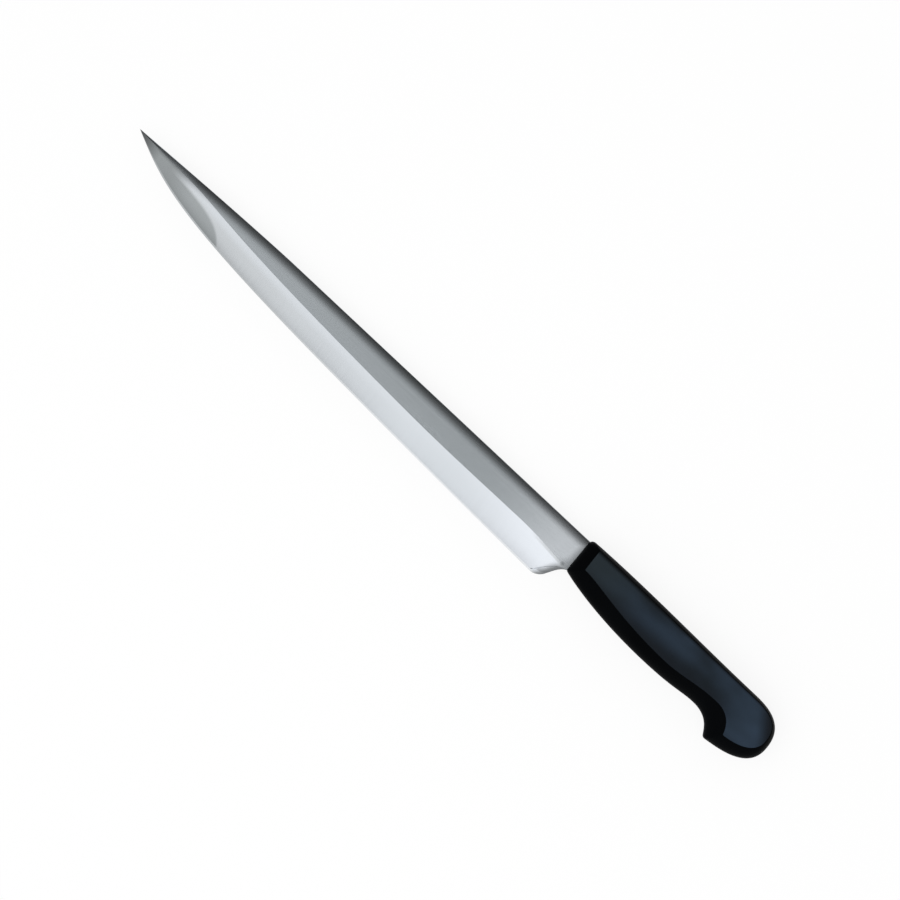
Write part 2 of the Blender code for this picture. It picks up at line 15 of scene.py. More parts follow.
import bmesh
import bpy
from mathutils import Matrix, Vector


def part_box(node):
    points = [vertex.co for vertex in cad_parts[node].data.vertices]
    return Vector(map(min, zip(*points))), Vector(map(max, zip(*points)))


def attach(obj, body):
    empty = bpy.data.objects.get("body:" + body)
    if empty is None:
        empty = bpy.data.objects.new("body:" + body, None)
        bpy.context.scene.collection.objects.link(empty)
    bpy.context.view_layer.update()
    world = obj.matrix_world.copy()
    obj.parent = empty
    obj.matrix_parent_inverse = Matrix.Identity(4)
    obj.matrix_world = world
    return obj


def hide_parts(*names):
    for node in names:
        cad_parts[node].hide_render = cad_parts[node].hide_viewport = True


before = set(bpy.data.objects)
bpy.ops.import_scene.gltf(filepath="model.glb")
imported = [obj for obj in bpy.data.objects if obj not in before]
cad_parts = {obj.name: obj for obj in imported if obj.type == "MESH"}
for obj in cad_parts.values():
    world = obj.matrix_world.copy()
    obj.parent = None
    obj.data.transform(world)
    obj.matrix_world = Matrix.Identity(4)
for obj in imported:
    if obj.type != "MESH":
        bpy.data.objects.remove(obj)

log = logging.getLogger("knife")

Pair = Tuple[float, float]
Triple = Tuple[float, float, float]
Colour = Triple
Curve = Tuple[Vector, Vector, Vector, Vector]
Node = bpy.types.Node
NodeTree = bpy.types.NodeTree
Socket = bpy.types.NodeSocket
BODY = "root"
TINY = 1e-6


class Zone(Enum):
    """The finishes of the blade, in the order of their material slots."""

    FLAT = 0
    HOLLOW = 1
    EDGE = 2


class HandleZone(Enum):
    """The finishes of the handle, in the order of their material slots."""

    ROLLED = 0
    PANEL = 1


class Field:
    """A value that changes over a node tree. Plain arithmetic on it adds the tree's math nodes."""

    def __init__(self, tree: NodeTree, socket: Socket) -> None:
        """Wraps the output socket that gives the value."""
        self.tree = tree
        self.socket = socket

    def math(self, operation: str, *others: "Value") -> "Field":
        """Adds one math node.

        Args:
            operation: The node's operation, in Blender's own word for it.
            others: The values after this one, as fields or numbers.

        Returns:
            The node's result.
        """
        node = add_node(self.tree, "ShaderNodeMath", operation=operation)
        for socket, value in zip(node.inputs, (self, *others)):
            feed(self.tree, value, socket)
        return Field(self.tree, node.outputs[0])

    def __add__(self, other: "Value") -> "Field":
        """Adds."""
        return self.math("ADD", other)

    def __sub__(self, other: "Value") -> "Field":
        """Subtracts."""
        return self.math("SUBTRACT", other)

    def __rsub__(self, other: float) -> "Field":
        """Subtracts from a number."""
        return (self * -1.0) + other

    def __mul__(self, other: "Value") -> "Field":
        """Multiplies."""
        return self.math("MULTIPLY", other)

    def __truediv__(self, other: "Value") -> "Field":
        """Divides."""
        return self.math("DIVIDE", other)

    def __pow__(self, other: "Value") -> "Field":
        """Raises to a power."""
        return self.math("POWER", other)

    __radd__ = __add__
    __rmul__ = __mul__

    def squared(self) -> "Field":
        """The value times itself."""
        return self * self

    def least(self, other: "Value") -> "Field":
        """The smaller of the two."""
        return self.math("MINIMUM", other)

    def most(self, other: "Value") -> "Field":
        """The larger of the two."""
        return self.math("MAXIMUM", other)

    def held(self) -> "Field":
        """The value held between 0 and 1."""
        return self.most(0.0).least(1.0)

    def above(self, other: "Value") -> "Field":
        """1 where the value is larger than the other, else 0."""
        return self.math("GREATER_THAN", other)

    def mapped(self, **options: object) -> "Field":
        """Sends the value through a Map Range node."""
        node = add_node(self.tree, "ShaderNodeMapRange", **options, Value=self)
        return Field(self.tree, node.outputs["Result"])

    def eased(self, start: "Value" = 0.0, end: "Value" = 1.0) -> "Field":
        """Rises from 0 at the start to 1 at the end, with level ends."""
        return self.mapped(interpolation_type="SMOOTHSTEP", From_Min=start, From_Max=end)

    def between(self, low: "Value", high: "Value") -> "Field":
        """Reads the value as a share of the way from low to high."""
        return self.mapped(clamp=False, To_Min=low, To_Max=high)

    def parts(self) -> Tuple["Field", ...]:
        """The three parts of a vector."""
        node = add_node(self.tree, "ShaderNodeSeparateXYZ", Vector=self)
        return tuple(Field(self.tree, socket) for socket in node.outputs)


Value = Union[float, Field]
Coat = Tuple[bpy.types.Material, Union[bool, Field]]
Masks = Dict[str, Field]


def spaced(name: str) -> str:
    """A socket's name, from a keyword that has underscores for its spaces."""
    return name.replace("_", " ")


def feed(tree: NodeTree, value: object, socket: Socket) -> None:
    """Gives a node's input its value.

    Args:
        tree: The node tree.
        value: A field or an output, which is linked, or a plain value, which is set on the input.
        socket: The input.
    """
    source = value.socket if isinstance(value, Field) else value
    if isinstance(source, Socket):
        tree.links.new(source, socket)
    else:
        socket.default_value = source


def add_node(tree: NodeTree, kind: str, **options: object) -> Node:
    """Adds a node.

    Args:
        tree: The node tree.
        kind: The node's type.
        options: Its properties, in lower case, and then its inputs, which start with a capital.

    Returns:
        The node.
    """
    node = tree.nodes.new(kind)
    for name, value in options.items():
        if name[0].islower():
            setattr(node, name, value)
        else:
            feed(tree, value, node.inputs[spaced(name)])
    return node


def hypotenuse(one: Field, other: Field) -> Field:
    """The length of a slope with these two sides."""
    return (one.squared() + other.squared()).math("SQRT")


def heading(degrees: float) -> Vector:
    """The unit direction at an angle from +X, turning towards +Y."""
    angle = math.radians(degrees)
    return Vector((math.cos(angle), math.sin(angle)))


def curve_point(start: Vector, start_pull: Vector, end_pull: Vector, end: Vector, t: float) -> Vector:
    """A point, by its share of the way, of the cubic curve whose ends are drawn towards two pull points."""
    s = 1.0 - t
    return start * s**3 + start_pull * 3 * s * s * t + end_pull * 3 * s * t * t + end * t**3


def curve_fields(points: Curve, t: Field) -> List[Field]:
    """The same cubic curve in a node tree.

    Args:
        points: Its start, two pull points and end.
        t: The share of the way along it.

    Returns:
        The two coordinates of the point.
    """
    s = 1.0 - t
    weights = (s * s * s, s * s * t * 3.0, s * t * t * 3.0, t * t * t)
    across = []
    for part in range(2):
        total = weights[0] * points[0][part]
        for weight, point in zip(weights[1:], points[1:]):
            total = total + weight * point[part]
        across.append(total)
    return across


def placed(name: str, data: bpy.types.ID) -> bpy.types.Object:
    """Puts a mesh, lamp or camera in the scene as an object at the origin.

    Args:
        name: The object's name.
        data: What it shows.

    Returns:
        The object.
    """
    piece = bpy.data.objects.new(name, data)
    bpy.context.scene.collection.objects.link(piece)
    return piece


@dataclass(frozen=True)
class Datum:
    """Where the knife is set out from, in the frame's own coordinates."""

    x: float
    y: float
    z: float

    @classmethod
    def from_frame(cls, handle_length: float) -> "Datum":
        """Reads the datum off the frame's nodes.

        Args:
            handle_length: From the front of the handle to its end.

        Returns:
            The datum.
        """
        blade_low, blade_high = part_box("blade")
        _, handle_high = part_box("handle")
        return cls(handle_high.x - handle_length, blade_high.y, 0.5 * (blade_low.z + blade_high.z))

    def vector(self) -> Vector:
        """The datum as a vector."""
        return Vector((self.x, self.y, self.z))


class Tree:
    """A node tree under construction."""

    def __init__(self, tree: NodeTree) -> None:
        """Takes the tree."""
        self.tree = tree

    def node(self, kind: str, **options: object) -> Node:
        """Adds a node to this tree, as add_node does."""
        return add_node(self.tree, kind, **options)

    def field(self, kind: str, output: str, **options: object) -> Field:
        """Adds a node and takes one of its outputs."""
        return Field(self.tree, self.node(kind, **options).outputs[output])

    def vector(self, x: Value, y: Value, z: Value) -> Field:
        """Joins three values into a vector."""
        return self.field("ShaderNodeCombineXYZ", "Vector", X=x, Y=y, Z=z)


class Group(Tree):
    """A node group under construction, with named inputs and outputs."""

    def __init__(self, name: str, kind: str) -> None:
        """Starts an empty group.

        Args:
            name: The group's name.
            kind: The type of its tree.
        """
        super().__init__(bpy.data.node_groups.new(name, kind))
        self.entry = self.node("NodeGroupInput")
        self.exit = self.node("NodeGroupOutput")
        self.values: Dict[str, float] = {}

    def socket(self, name: str, kind: str, in_out: str = "INPUT") -> bpy.types.NodeTreeInterfaceSocket:
        """Adds an input or output of a kind, such as Float or Geometry."""
        return self.tree.interface.new_socket(name, in_out=in_out, socket_type="NodeSocket" + kind)

    def takes(self, **values: float) -> List[Field]:
        """Adds named inputs.

        Args:
            values: The name and the value of each.

        Returns:
            The inputs as fields, in the same order.
        """
        for name, value in values.items():
            socket = self.socket(spaced(name), "Int" if isinstance(value, int) else "Float")
            socket.default_value = value
            self.values[socket.identifier] = value
        return [Field(self.tree, self.entry.outputs[spaced(name)]) for name in values]


class ShapeTree(Group):
    """A geometry node tree with named sizes, from which a modifier makes a piece."""

    def __init__(self, name: str) -> None:
        """Starts an empty tree."""
        super().__init__(name, "GeometryNodeTree")
        self.socket("Geometry", "Geometry", "OUTPUT")

    def points_input(self) -> Socket:
        """Adds the input that takes the object's own mesh."""
        self.socket("Geometry", "Geometry")
        return self.entry.outputs["Geometry"]

    def changed(self, kind: str, geometry: Socket, **options: object) -> Socket:
        """Sends the geometry through one node."""
        return self.node(kind, **options, Geometry=geometry).outputs["Geometry"]

    def shaded(self, geometry: Socket, smooth: bool) -> Socket:
        """Shades every face smooth or flat."""
        return self.changed("GeometryNodeSetShadeSmooth", geometry, domain="FACE", Shade_Smooth=smooth)

    def creased(self, geometry: Socket, where: Field) -> Socket:
        """Makes the marked edges sharp."""
        sharp = {"domain": "EDGE", "Shade_Smooth": False, "Selection": where}
        return self.changed("GeometryNodeSetShadeSmooth", geometry, **sharp)

    def stored(self, geometry: Socket, name: str, value: Field) -> Socket:
        """Keeps a value on the points under a name."""
        options = {"data_type": "FLOAT", "domain": "POINT", "Name": name, "Value": value}
        return self.changed("GeometryNodeStoreNamedAttribute", geometry, **options)

    def kept(self, name: str, kind: str = "FLOAT") -> Field:
        """A value that the points hold under a name."""
        return self.field("GeometryNodeInputNamedAttribute", "Attribute", data_type=kind, Name=name)

    def sampled(self, points: Socket, number: Field, name: str, kind: str = "FLOAT") -> Field:
        """The value that one of some other points holds under a name."""
        options = {"data_type": kind, "domain": "POINT", "Value": self.kept(name, kind), "Index": number}
        return self.field("GeometryNodeSampleIndex", "Value", **options, Geometry=points)

    def finish(self, geometry: Socket, coats: Dict[Enum, Coat]) -> None:
        """Ends the tree: realizes the geometry and gives its faces their materials.

        Args:
            geometry: The geometry.
            coats: For each zone, its material and the faces that take it. The first goes on every face.
        """
        geometry = self.changed("GeometryNodeRealizeInstances", geometry)
        for zone in sorted(coats, key=lambda each: each.value):
            material, where = coats[zone]
            geometry = self.changed("GeometryNodeSetMaterial", geometry, Material=material, Selection=where)
        feed(self.tree, geometry, self.exit.inputs["Geometry"])

    def make(self, name: str, start: Optional[bpy.types.Mesh] = None) -> bpy.types.Object:
        """Runs the tree once and keeps its result as a plain mesh.

        Args:
            name: The piece's name.
            start: The mesh that the tree reads, if it reads one.

        Returns:
            The piece, with no modifier left on it.
        """
        source = placed(name + "_source", start or bpy.data.meshes.new(name + "_start"))
        modifier = source.modifiers.new("shape", "NODES")
        modifier.node_group = self.tree
        for identifier, value in self.values.items():
            modifier[identifier] = value
        evaluated = source.evaluated_get(bpy.context.evaluated_depsgraph_get())
        mesh = bpy.data.meshes.new_from_object(evaluated)
        mesh.name = name
        bpy.data.objects.remove(source, do_unlink=True)
        for slot in reversed(range(len(mesh.materials))):
            if mesh.materials[slot] is None:
                mesh.materials.pop(index=slot)
        return placed(name, mesh)


class SurfaceTree(Tree):
    """A material under construction: one Principled shader, fed by fields on the piece's own coordinates."""

    def __init__(self, name: str) -> None:
        """Starts the material.

        Args:
            name: The material's name.
        """
        self.material = bpy.data.materials.new(name)
        self.material.use_nodes = True
        super().__init__(self.material.node_tree)
        self.shader = self.tree.nodes["Principled BSDF"]

    def coordinates(self) -> Field:
        """The piece's own Object coordinates."""
        return self.field("ShaderNodeTexCoord", "Object")

    def attribute(self, name: str) -> Field:
        """A value that the piece's mesh holds under a name."""
        return self.field("ShaderNodeAttribute", "Fac", attribute_name=name)

    def effect(self, group: NodeTree, **inputs: Value) -> Masks:
        """Places a shared effect with this material's own values, and gives its outputs by name."""
        node = self.node("ShaderNodeGroup", node_tree=group, **inputs)
        return {socket.name: Field(self.tree, socket) for socket in node.outputs}

    def tinted(self, share: Value, low: Union[Colour, Field], high: Union[Colour, Field]) -> Field:
        """A colour between two, by a share.

        Args:
            share: 0 gives the first colour and 1 the second.
            low: The first colour.
            high: The second colour.

        Returns:
            The colour.
        """
        node = self.node("ShaderNodeMix", data_type="RGBA", Factor=share)
        for colour, socket in ((low, node.inputs[6]), (high, node.inputs[7])):
            feed(self.tree, colour if isinstance(colour, Field) else (*colour, 1.0), socket)
        return Field(self.tree, node.outputs[2])

    def set(self, **inputs: object) -> None:
        """Sets inputs of the shader by name."""
        for name, value in inputs.items():
            feed(self.tree, value, self.shader.inputs[spaced(name)])

    def bump(self, height: Field, distance: float) -> None:
        """Raises the surface by a height, where 1 stands for the distance."""
        self.set(Normal=self.field("ShaderNodeBump", "Normal", Distance=distance, Height=height))


class Effect(Group):
    """A shader node group under construction, which reads the place on the surface."""

    def __init__(self, name: str) -> None:
        """Starts the group.

        Args:
            name: The group's name.
        """
        super().__init__(name, "ShaderNodeTree")
        self.socket("Position", "Vector")
        self.position = Field(self.tree, self.entry.outputs["Position"])

    def gives(self, **outputs: Field) -> NodeTree:
        """Adds named outputs.

        Args:
            outputs: The name and the value of each.

        Returns:
            The finished group.
        """
        for name, value in outputs.items():
            self.socket(spaced(name), "Float", "OUTPUT")
            feed(self.tree, value, self.exit.inputs[spaced(name)])
        return self.tree

    def noise(self, at: Field, scale: Value, detail: float, roughness: float = 0.5) -> Field:
        """A cloudy value from 0 to 1, from its clouds to a metre, its finer layers and their strength."""
        options = {"Vector": at, "Scale": scale, "Detail": detail, "Roughness": roughness}
        return self.field("ShaderNodeTexNoise", "Fac", **options)


@dataclass(frozen=True)
class Effects:
    """The surface effects that several finishes share, each built once, when a finish first asks for it.

    The contrasts are the parts of the noise that show. The other pairs are mostly where a change along the
    blade starts and ends, in distance ahead of the handle.
    """

    datum: Datum
    line_contrast: Pair = (0.28, 0.72)
    cloud_contrast: Pair = (0.30, 0.70)
    grain_contrast: Pair = (0.25, 0.75)
    speck_contrast: Pair = (0.45, 0.80)
    speck_scale: float = 0.23
    broad_scale: Pair = (0.2, 0.14)
    broad_layer: float = 3.0
    joint_depth: Pair = (0.0120, 0.0185)
    joint_reach: Pair = (0.0042, 0.0090)
    joint_fade: Pair = (-0.2, 1.0)
    choil_corner: Pair = (0.0028, 0.0172)
    choil_fade: Pair = (0.0004, 0.0024)
    near_handle: Pair = (0.002, 0.080)
    plunge: Pair = (0.012, 0.028)
    near_tip: Pair = (0.080, 0.235)
    point: Pair = (0.276, 0.299)
    before_point: Pair = (0.256, 0.276)
    before_point_share: float = 0.24

    @cached_property
    def brushing(self) -> NodeTree:
        """Fine scratches that a belt or wheel leaves, all one way.

        Returns:
            The group, whose outputs are Scratches and Sheen, from 0 to 1.
        """
        effect = Effect("brushing")
        x, y, _ = effect.position.parts()
        along, across, slant = effect.takes(Along_X=20.0, Along_Y=2000.0, Slant=0.0)
        lined = (x + y * slant) * along
        broad_x, broad_y = self.broad_scale
        fine_at = effect.vector(lined, y * across, 0.0)
        broad_at = effect.vector(lined * broad_x, y * across * broad_y, self.broad_layer)
        return effect.gives(
            Scratches=effect.noise(fine_at, 1.0, detail=3.0, roughness=0.65).eased(*self.line_contrast),
            Sheen=effect.noise(broad_at, 1.0, detail=2.0).eased(*self.cloud_contrast),
        )

    @cached_property
    def clouding(self) -> NodeTree:
        """Soft clouds, from handling and from the light's own patches.

        Returns:
            The group, whose output is Clouds, from 0 to 1.
        """
        effect = Effect("clouding")
        x, y, z = effect.position.parts()
        stretch, scale, seed = effect.takes(Stretch=1.0, Scale=30.0, Seed=0.0)
        clouds = effect.noise(effect.vector(x / stretch, y, z + seed), scale, detail=2.0, roughness=0.45)
        return effect.gives(Clouds=clouds.eased(*self.cloud_contrast))

    @cached_property
    def pebbling(self) -> NodeTree:
        """The fine matt grain of a moulding tool.

        Returns:
            The group, whose outputs are Grain and Specks, from 0 to 1.
        """
        effect = Effect("pebbling")
        (scale,) = effect.takes(Scale=2600.0)
        grain = effect.noise(effect.position, scale, detail=2.0, roughness=0.6)
        specks = effect.noise(effect.position, scale * self.speck_scale, detail=3.0, roughness=0.7)
        return effect.gives(
            Grain=grain.eased(*self.grain_contrast),
            Specks=specks.eased(*self.speck_contrast),
        )

    @cached_property
    def painted_light(self) -> NodeTree:
        """Painted light along the blade: a painted reflection that changes from the handle to the tip, and
        painted shade at the joint, the choil's corner, the plunge and the point.

        Returns:
            The group, whose outputs are Joint, Near Handle, Plunge, Near Tip and Point, from 0 to 1.
        """
        effect = Effect("polish_along_blade")
        x, y, _ = effect.position.parts()
        ahead = self.datum.x - x
        below = self.datum.y - y
        # Painted shade where the blade meets the handle, deepest at the choil's corner.
        reach = below.eased(*self.joint_depth).between(*self.joint_reach)
        corner_x, corner_y = self.choil_corner
        corner = 1.0 - hypotenuse(ahead - corner_x, below - corner_y).eased(*self.choil_fade)
        before_point = ahead.eased(*self.before_point) * self.before_point_share
        # Painted reflection near the handle and towards the tip, and painted shade at the plunge and at the
        # point.
        return effect.gives(
            Joint=(1.0 - (ahead / reach).eased(*self.joint_fade)).most(corner),
            Near_Handle=1.0 - ahead.eased(*self.near_handle),
            Plunge=1.0 - ahead.eased(*self.plunge),
            Near_Tip=ahead.eased(*self.near_tip),
            Point=ahead.eased(*self.point).most(before_point),
        )


@dataclass(frozen=True)
class SatinSteel:
    """The flats of the blade, finished on a belt: grey and lined lengthwise, with a painted reflection that
    is lightest at the handle, and painted shade along the spine, at the joint and at the point.

    In each finish the roughness is the smoothest, and what the lines or grain and the clouds add to it. The
    relief is the height of the lines or grain.
    """

    base: Colour = (0.435, 0.475, 0.497)
    bright: Colour = (0.740, 0.780, 0.820)
    dark: Colour = (0.085, 0.090, 0.092)
    tip_light: float = 0.16
    cloud_light: float = 0.10
    line_light: float = 0.05
    spine_fade: Pair = (0.0, 0.95)
    spine_dark: float = 0.80
    spine_fading: float = 2.2
    spine_least: float = 0.1
    joint_dark: float = 0.62
    point_dark: float = 0.35
    roughness: Triple = (0.21, 0.05, 0.03)
    relief: float = 0.0000015

    def material(self, effects: Effects) -> bpy.types.Material:
        """Builds the material.

        Args:
            effects: The shared effects.

        Returns:
            The material.
        """
        surface = SurfaceTree("satin_steel")
        at = surface.coordinates()
        lines = surface.effect(effects.brushing, Position=at, Along_X=35.0, Along_Y=5200.0)
        clouds = surface.effect(effects.clouding, Position=at, Stretch=6.0, Scale=60.0, Seed=1.7)["Clouds"]
        painted_light = surface.effect(effects.painted_light, Position=at)
        # Painted reflection: lighter at the handle and towards the tip, with the clouds and the lines'
        # sheen.
        light = painted_light["Near Handle"].squared() + painted_light["Near Tip"] * self.tip_light
        light = (light + clouds * self.cloud_light + lines["Sheen"] * self.line_light).held()
        # Painted shade along the spine, fading at the point, and painted shade at the joint and at the
        # point.
        spine_dark = (self.spine_dark - painted_light["Point"] * self.spine_fading).most(self.spine_least)
        spine = surface.attribute("belt_and_spine_shade").eased(*self.spine_fade) * spine_dark
        painted_shade = spine.most(painted_light["Joint"] * self.joint_dark).most(painted_light["Point"] * self.point_dark)
        smoothest, lined, clouded = self.roughness
        surface.set(
            Base_Color=surface.tinted(painted_shade, surface.tinted(light, self.base, self.bright), self.dark),
            Metallic=1.0,
            Roughness=lines["Scratches"] * lined + clouds * clouded + smoothest,
        )
        surface.bump(lines["Scratches"], self.relief)
        return surface.material


@dataclass(frozen=True)
class GroundSteel:
    """The hollow that the wheel left: bright, with fine lines from the spine to the edge, a painted
    highlight below the grind line, a painted reflection that fades towards the tip, and painted shade near
    the point, on the heel's lip, at the joint and along the spine.
    """

    base: Colour = (0.620, 0.655, 0.690)
    bright: Colour = (0.757, 0.792, 0.842)
    tip: Colour = (0.545, 0.570, 0.590)
    patch: Colour = (0.345, 0.368, 0.376)
    lip: Colour = (0.230, 0.240, 0.246)
    dark: Colour = (0.085, 0.090, 0.092)
    ridge: Pair = (0.55, 0.90)
    ridge_light: float = 0.10
    cloud_light: float = 0.06
    line_light: float = 0.06
    ridge_keep: float = 0.72
    cloud_dull: float = 0.05
    plunge_rise: Pair = (0.82, 0.94)
    plunge_shade: float = 0.85
    spine_fade: Pair = (0.0, 0.95)
    spine_dark: float = 0.90
    spine_fading: float = 0.25
    joint_dark: float = 0.62
    patch_start: float = 0.2325
    patch_curve: float = 0.0065
    patch_height: float = 0.72
    patch_edge: Pair = (-0.04, 0.14)
    patch_full: Pair = (0.027, 0.044)
    roughness: Triple = (0.14, 0.05, 0.04)
    relief: float = 0.0000015

    def material(self, effects: Effects) -> bpy.types.Material:
        """Builds the material.

        Args:
            effects: The shared effects.

        Returns:
            The material.
        """
        surface = SurfaceTree("ground_steel")
        at = surface.coordinates()
        lines = surface.effect(effects.brushing, Position=at, Along_X=3800.0, Along_Y=60.0, Slant=0.12)
        clouds = surface.effect(effects.clouding, Position=at, Stretch=3.0, Scale=45.0, Seed=5.2)["Clouds"]
        painted_light = surface.effect(effects.painted_light, Position=at)
        up = surface.attribute("hollow")
        # Painted highlight along the ridge below the grind line, and a painted reflection that is lightest
        # at the handle.
        ridge = up.eased(*self.ridge)
        light = painted_light["Near Handle"] + ridge * self.ridge_light + clouds * self.cloud_light
        light = (light + lines["Sheen"] * self.line_light).held()
        # Painted reflection that fades towards the tip, and painted shade at the top of the hollow by the
        # plunge.
        fade = (painted_light["Near Tip"] * (1.0 - ridge * self.ridge_keep) + clouds * self.cloud_dull).held()
        fade = fade.most(painted_light["Plunge"] * up.eased(*self.plunge_rise) * self.plunge_shade)
        along = surface.tinted(fade, surface.tinted(light, self.base, self.bright), self.tip)
        patched = surface.tinted(self.painted_tip_shade(at, effects.datum, up), along, self.patch)
        # Painted shade on the heel's lip and along its rim.
        lipped = surface.tinted(surface.attribute("lip"), patched, self.lip)
        # Painted shade along the spine, at the point and at the joint.
        spine_dark = self.spine_dark - painted_light["Point"] * self.spine_fading
        painted_shade = (surface.attribute("belt_and_spine_shade").eased(*self.spine_fade) * spine_dark).most(painted_light["Point"])
        smoothest, lined, clouded = self.roughness
        surface.set(
            Base_Color=surface.tinted(painted_shade.most(painted_light["Joint"] * self.joint_dark), lipped, self.dark),
            Metallic=1.0,
            Roughness=lines["Scratches"] * lined + clouds * clouded + smoothest,
        )
        surface.bump(lines["Scratches"], self.relief)
        return surface.material

    def painted_tip_shade(self, at: Field, datum: Datum, up: Field) -> Field:
        """Painted shade on the hollow towards the point, up to a curved border.

        Args:
            at: The place on the surface.
            datum: Where the knife is set out from.
            up: The share of the way up the hollow.

        Returns:
            1 where the painted shade lies, else 0.
        """
        beyond = (datum.x - self.patch_start - at.parts()[0]).most(0.0)
        border = (1.0 - (beyond / -self.patch_curve).math("EXPONENT")) * self.patch_height
        return (border - up).eased(*self.patch_edge).most(beyond.eased(*self.patch_full))


@dataclass(frozen=True)
class HonedSteel:
    """The sharpened strip along the cutting edge: the brightest steel, with coarser lines across it, a
    painted reflection that darkens towards the tip, and painted shade at the point and on the heel's lip.
    """

    base: Colour = (0.720, 0.740, 0.760)
    dull: Colour = (0.620, 0.640, 0.660)
    lip: Colour = (0.230, 0.240, 0.246)
    tip: Colour = (0.350, 0.370, 0.380)
    line_dull: float = 0.5
    tip_shade: float = 0.8
    point_dark: float = 0.7
    roughness: Pair = (0.16, 0.08)
    relief: float = 0.000003

    def material(self, effects: Effects) -> bpy.types.Material:
        """Builds the material.

        Args:
            effects: The shared effects.

        Returns:
            The material.
        """
        surface = SurfaceTree("honed_steel")
        at = surface.coordinates()
        lines = surface.effect(effects.brushing, Position=at, Along_X=5200.0, Along_Y=90.0, Slant=0.5)
        painted_light = surface.effect(effects.painted_light, Position=at)
        honed = surface.tinted(lines["Sheen"] * self.line_dull, self.base, self.dull)
        # Painted reflection that darkens towards the tip, and painted shade at the point.
        tipped = surface.tinted(painted_light["Near Tip"] * self.tip_shade, honed, self.tip)
        tipped = surface.tinted(painted_light["Point"] * self.point_dark, tipped, self.lip)
        smoothest, lined = self.roughness
        # The strip takes the painted shade of the heel's lip too.
        surface.set(
            Base_Color=surface.tinted(surface.attribute("lip"), tipped, self.lip),
            Metallic=1.0,
            Roughness=lines["Scratches"] * lined + smoothest,
        )
        surface.bump(lines["Scratches"], self.relief)
        return surface.material


@dataclass(frozen=True)
class PanelPlastic:
    """The matt flats of the handle: slate black plastic with the mould's grain and soft bluish clouds, a
    painted highlight pool, painted shade at its end and along its upper border, and darker towards its lower
    border.
    """

    base: Colour = (0.0081, 0.0121, 0.0166)
    pale: Colour = (0.0251, 0.0406, 0.0636)
    front: Colour = (0.0171, 0.0241, 0.0281)
    dark: Colour = (0.0048, 0.0060, 0.0076)
    black: Colour = (0.0006, 0.0010, 0.0016)
    pool: Pair = (0.1155, -0.0100)
    pool_size: float = 0.023
    pool_fade: Pair = (0.1, 1.0)
    pool_light: float = 0.60
    cloud_light: float = 0.58
    speck_light: float = 0.06
    end: Pair = (0.1225, -0.0080)
    end_slant: float = 0.80
    end_width: float = 0.0100
    end_dark: float = 0.92
    low: Pair = (0.0070, 0.0165)
    low_until: Pair = (0.092, 0.112)
    low_dark: float = 0.72
    front_fade: Pair = (0.008, 0.050)
    front_grey: float = 0.8
    back: Pair = (-0.0024, 0.0)
    roughness: Triple = (0.47, 0.10, 0.05)
    gloss: float = 0.08
    relief: float = 0.00001

    def material(self, effects: Effects) -> bpy.types.Material:
        """Builds the material.

        Args:
            effects: The shared effects.

        Returns:
            The material.
        """
        surface = SurfaceTree("panel_plastic")
        at = surface.coordinates()
        grain = surface.effect(effects.pebbling, Position=at, Scale=2400.0)
        clouds = surface.effect(effects.clouding, Position=at, Stretch=1.8, Scale=62.0, Seed=2.4)["Clouds"]
        x, y, _ = at.parts()
        along = x - effects.datum.x
        down = y - effects.datum.y
        # Painted highlight: a soft bluish pool of light on the flat.
        beside = hypotenuse(along - self.pool[0], down - self.pool[1])
        pool = 1.0 - (beside / self.pool_size).eased(*self.pool_fade)
        # Painted shade where the flat curls over at its end.
        past = along - self.end[0] + (down - self.end[1]) * self.end_slant
        end = past.eased(-0.5 * self.end_width, 0.5 * self.end_width) * self.end_dark
        low = (down * -1.0).eased(*self.low) * (1.0 - along.eased(*self.low_until)) * self.low_dark
        shade = pool * self.pool_light + clouds * self.cloud_light + grain["Specks"] * self.speck_light
        pooled = surface.tinted(shade.held(), self.base, self.pale)
        greyer = (1.0 - along.eased(*self.front_fade)) * self.front_grey
        darkened = surface.tinted(end.most(low), surface.tinted(greyer, pooled, self.front), self.dark)
        smoothest, grained, clouded = self.roughness
        # Painted shade along the flat's upper border, where it meets the rolled side.
        surface.set(
            Base_Color=surface.tinted(down.eased(*self.back), darkened, self.black),
            Roughness=grain["Grain"] * grained + clouds * clouded + smoothest,
            Specular_IOR_Level=self.gloss,
        )
        surface.bump(grain["Grain"], self.relief)
        return surface.material


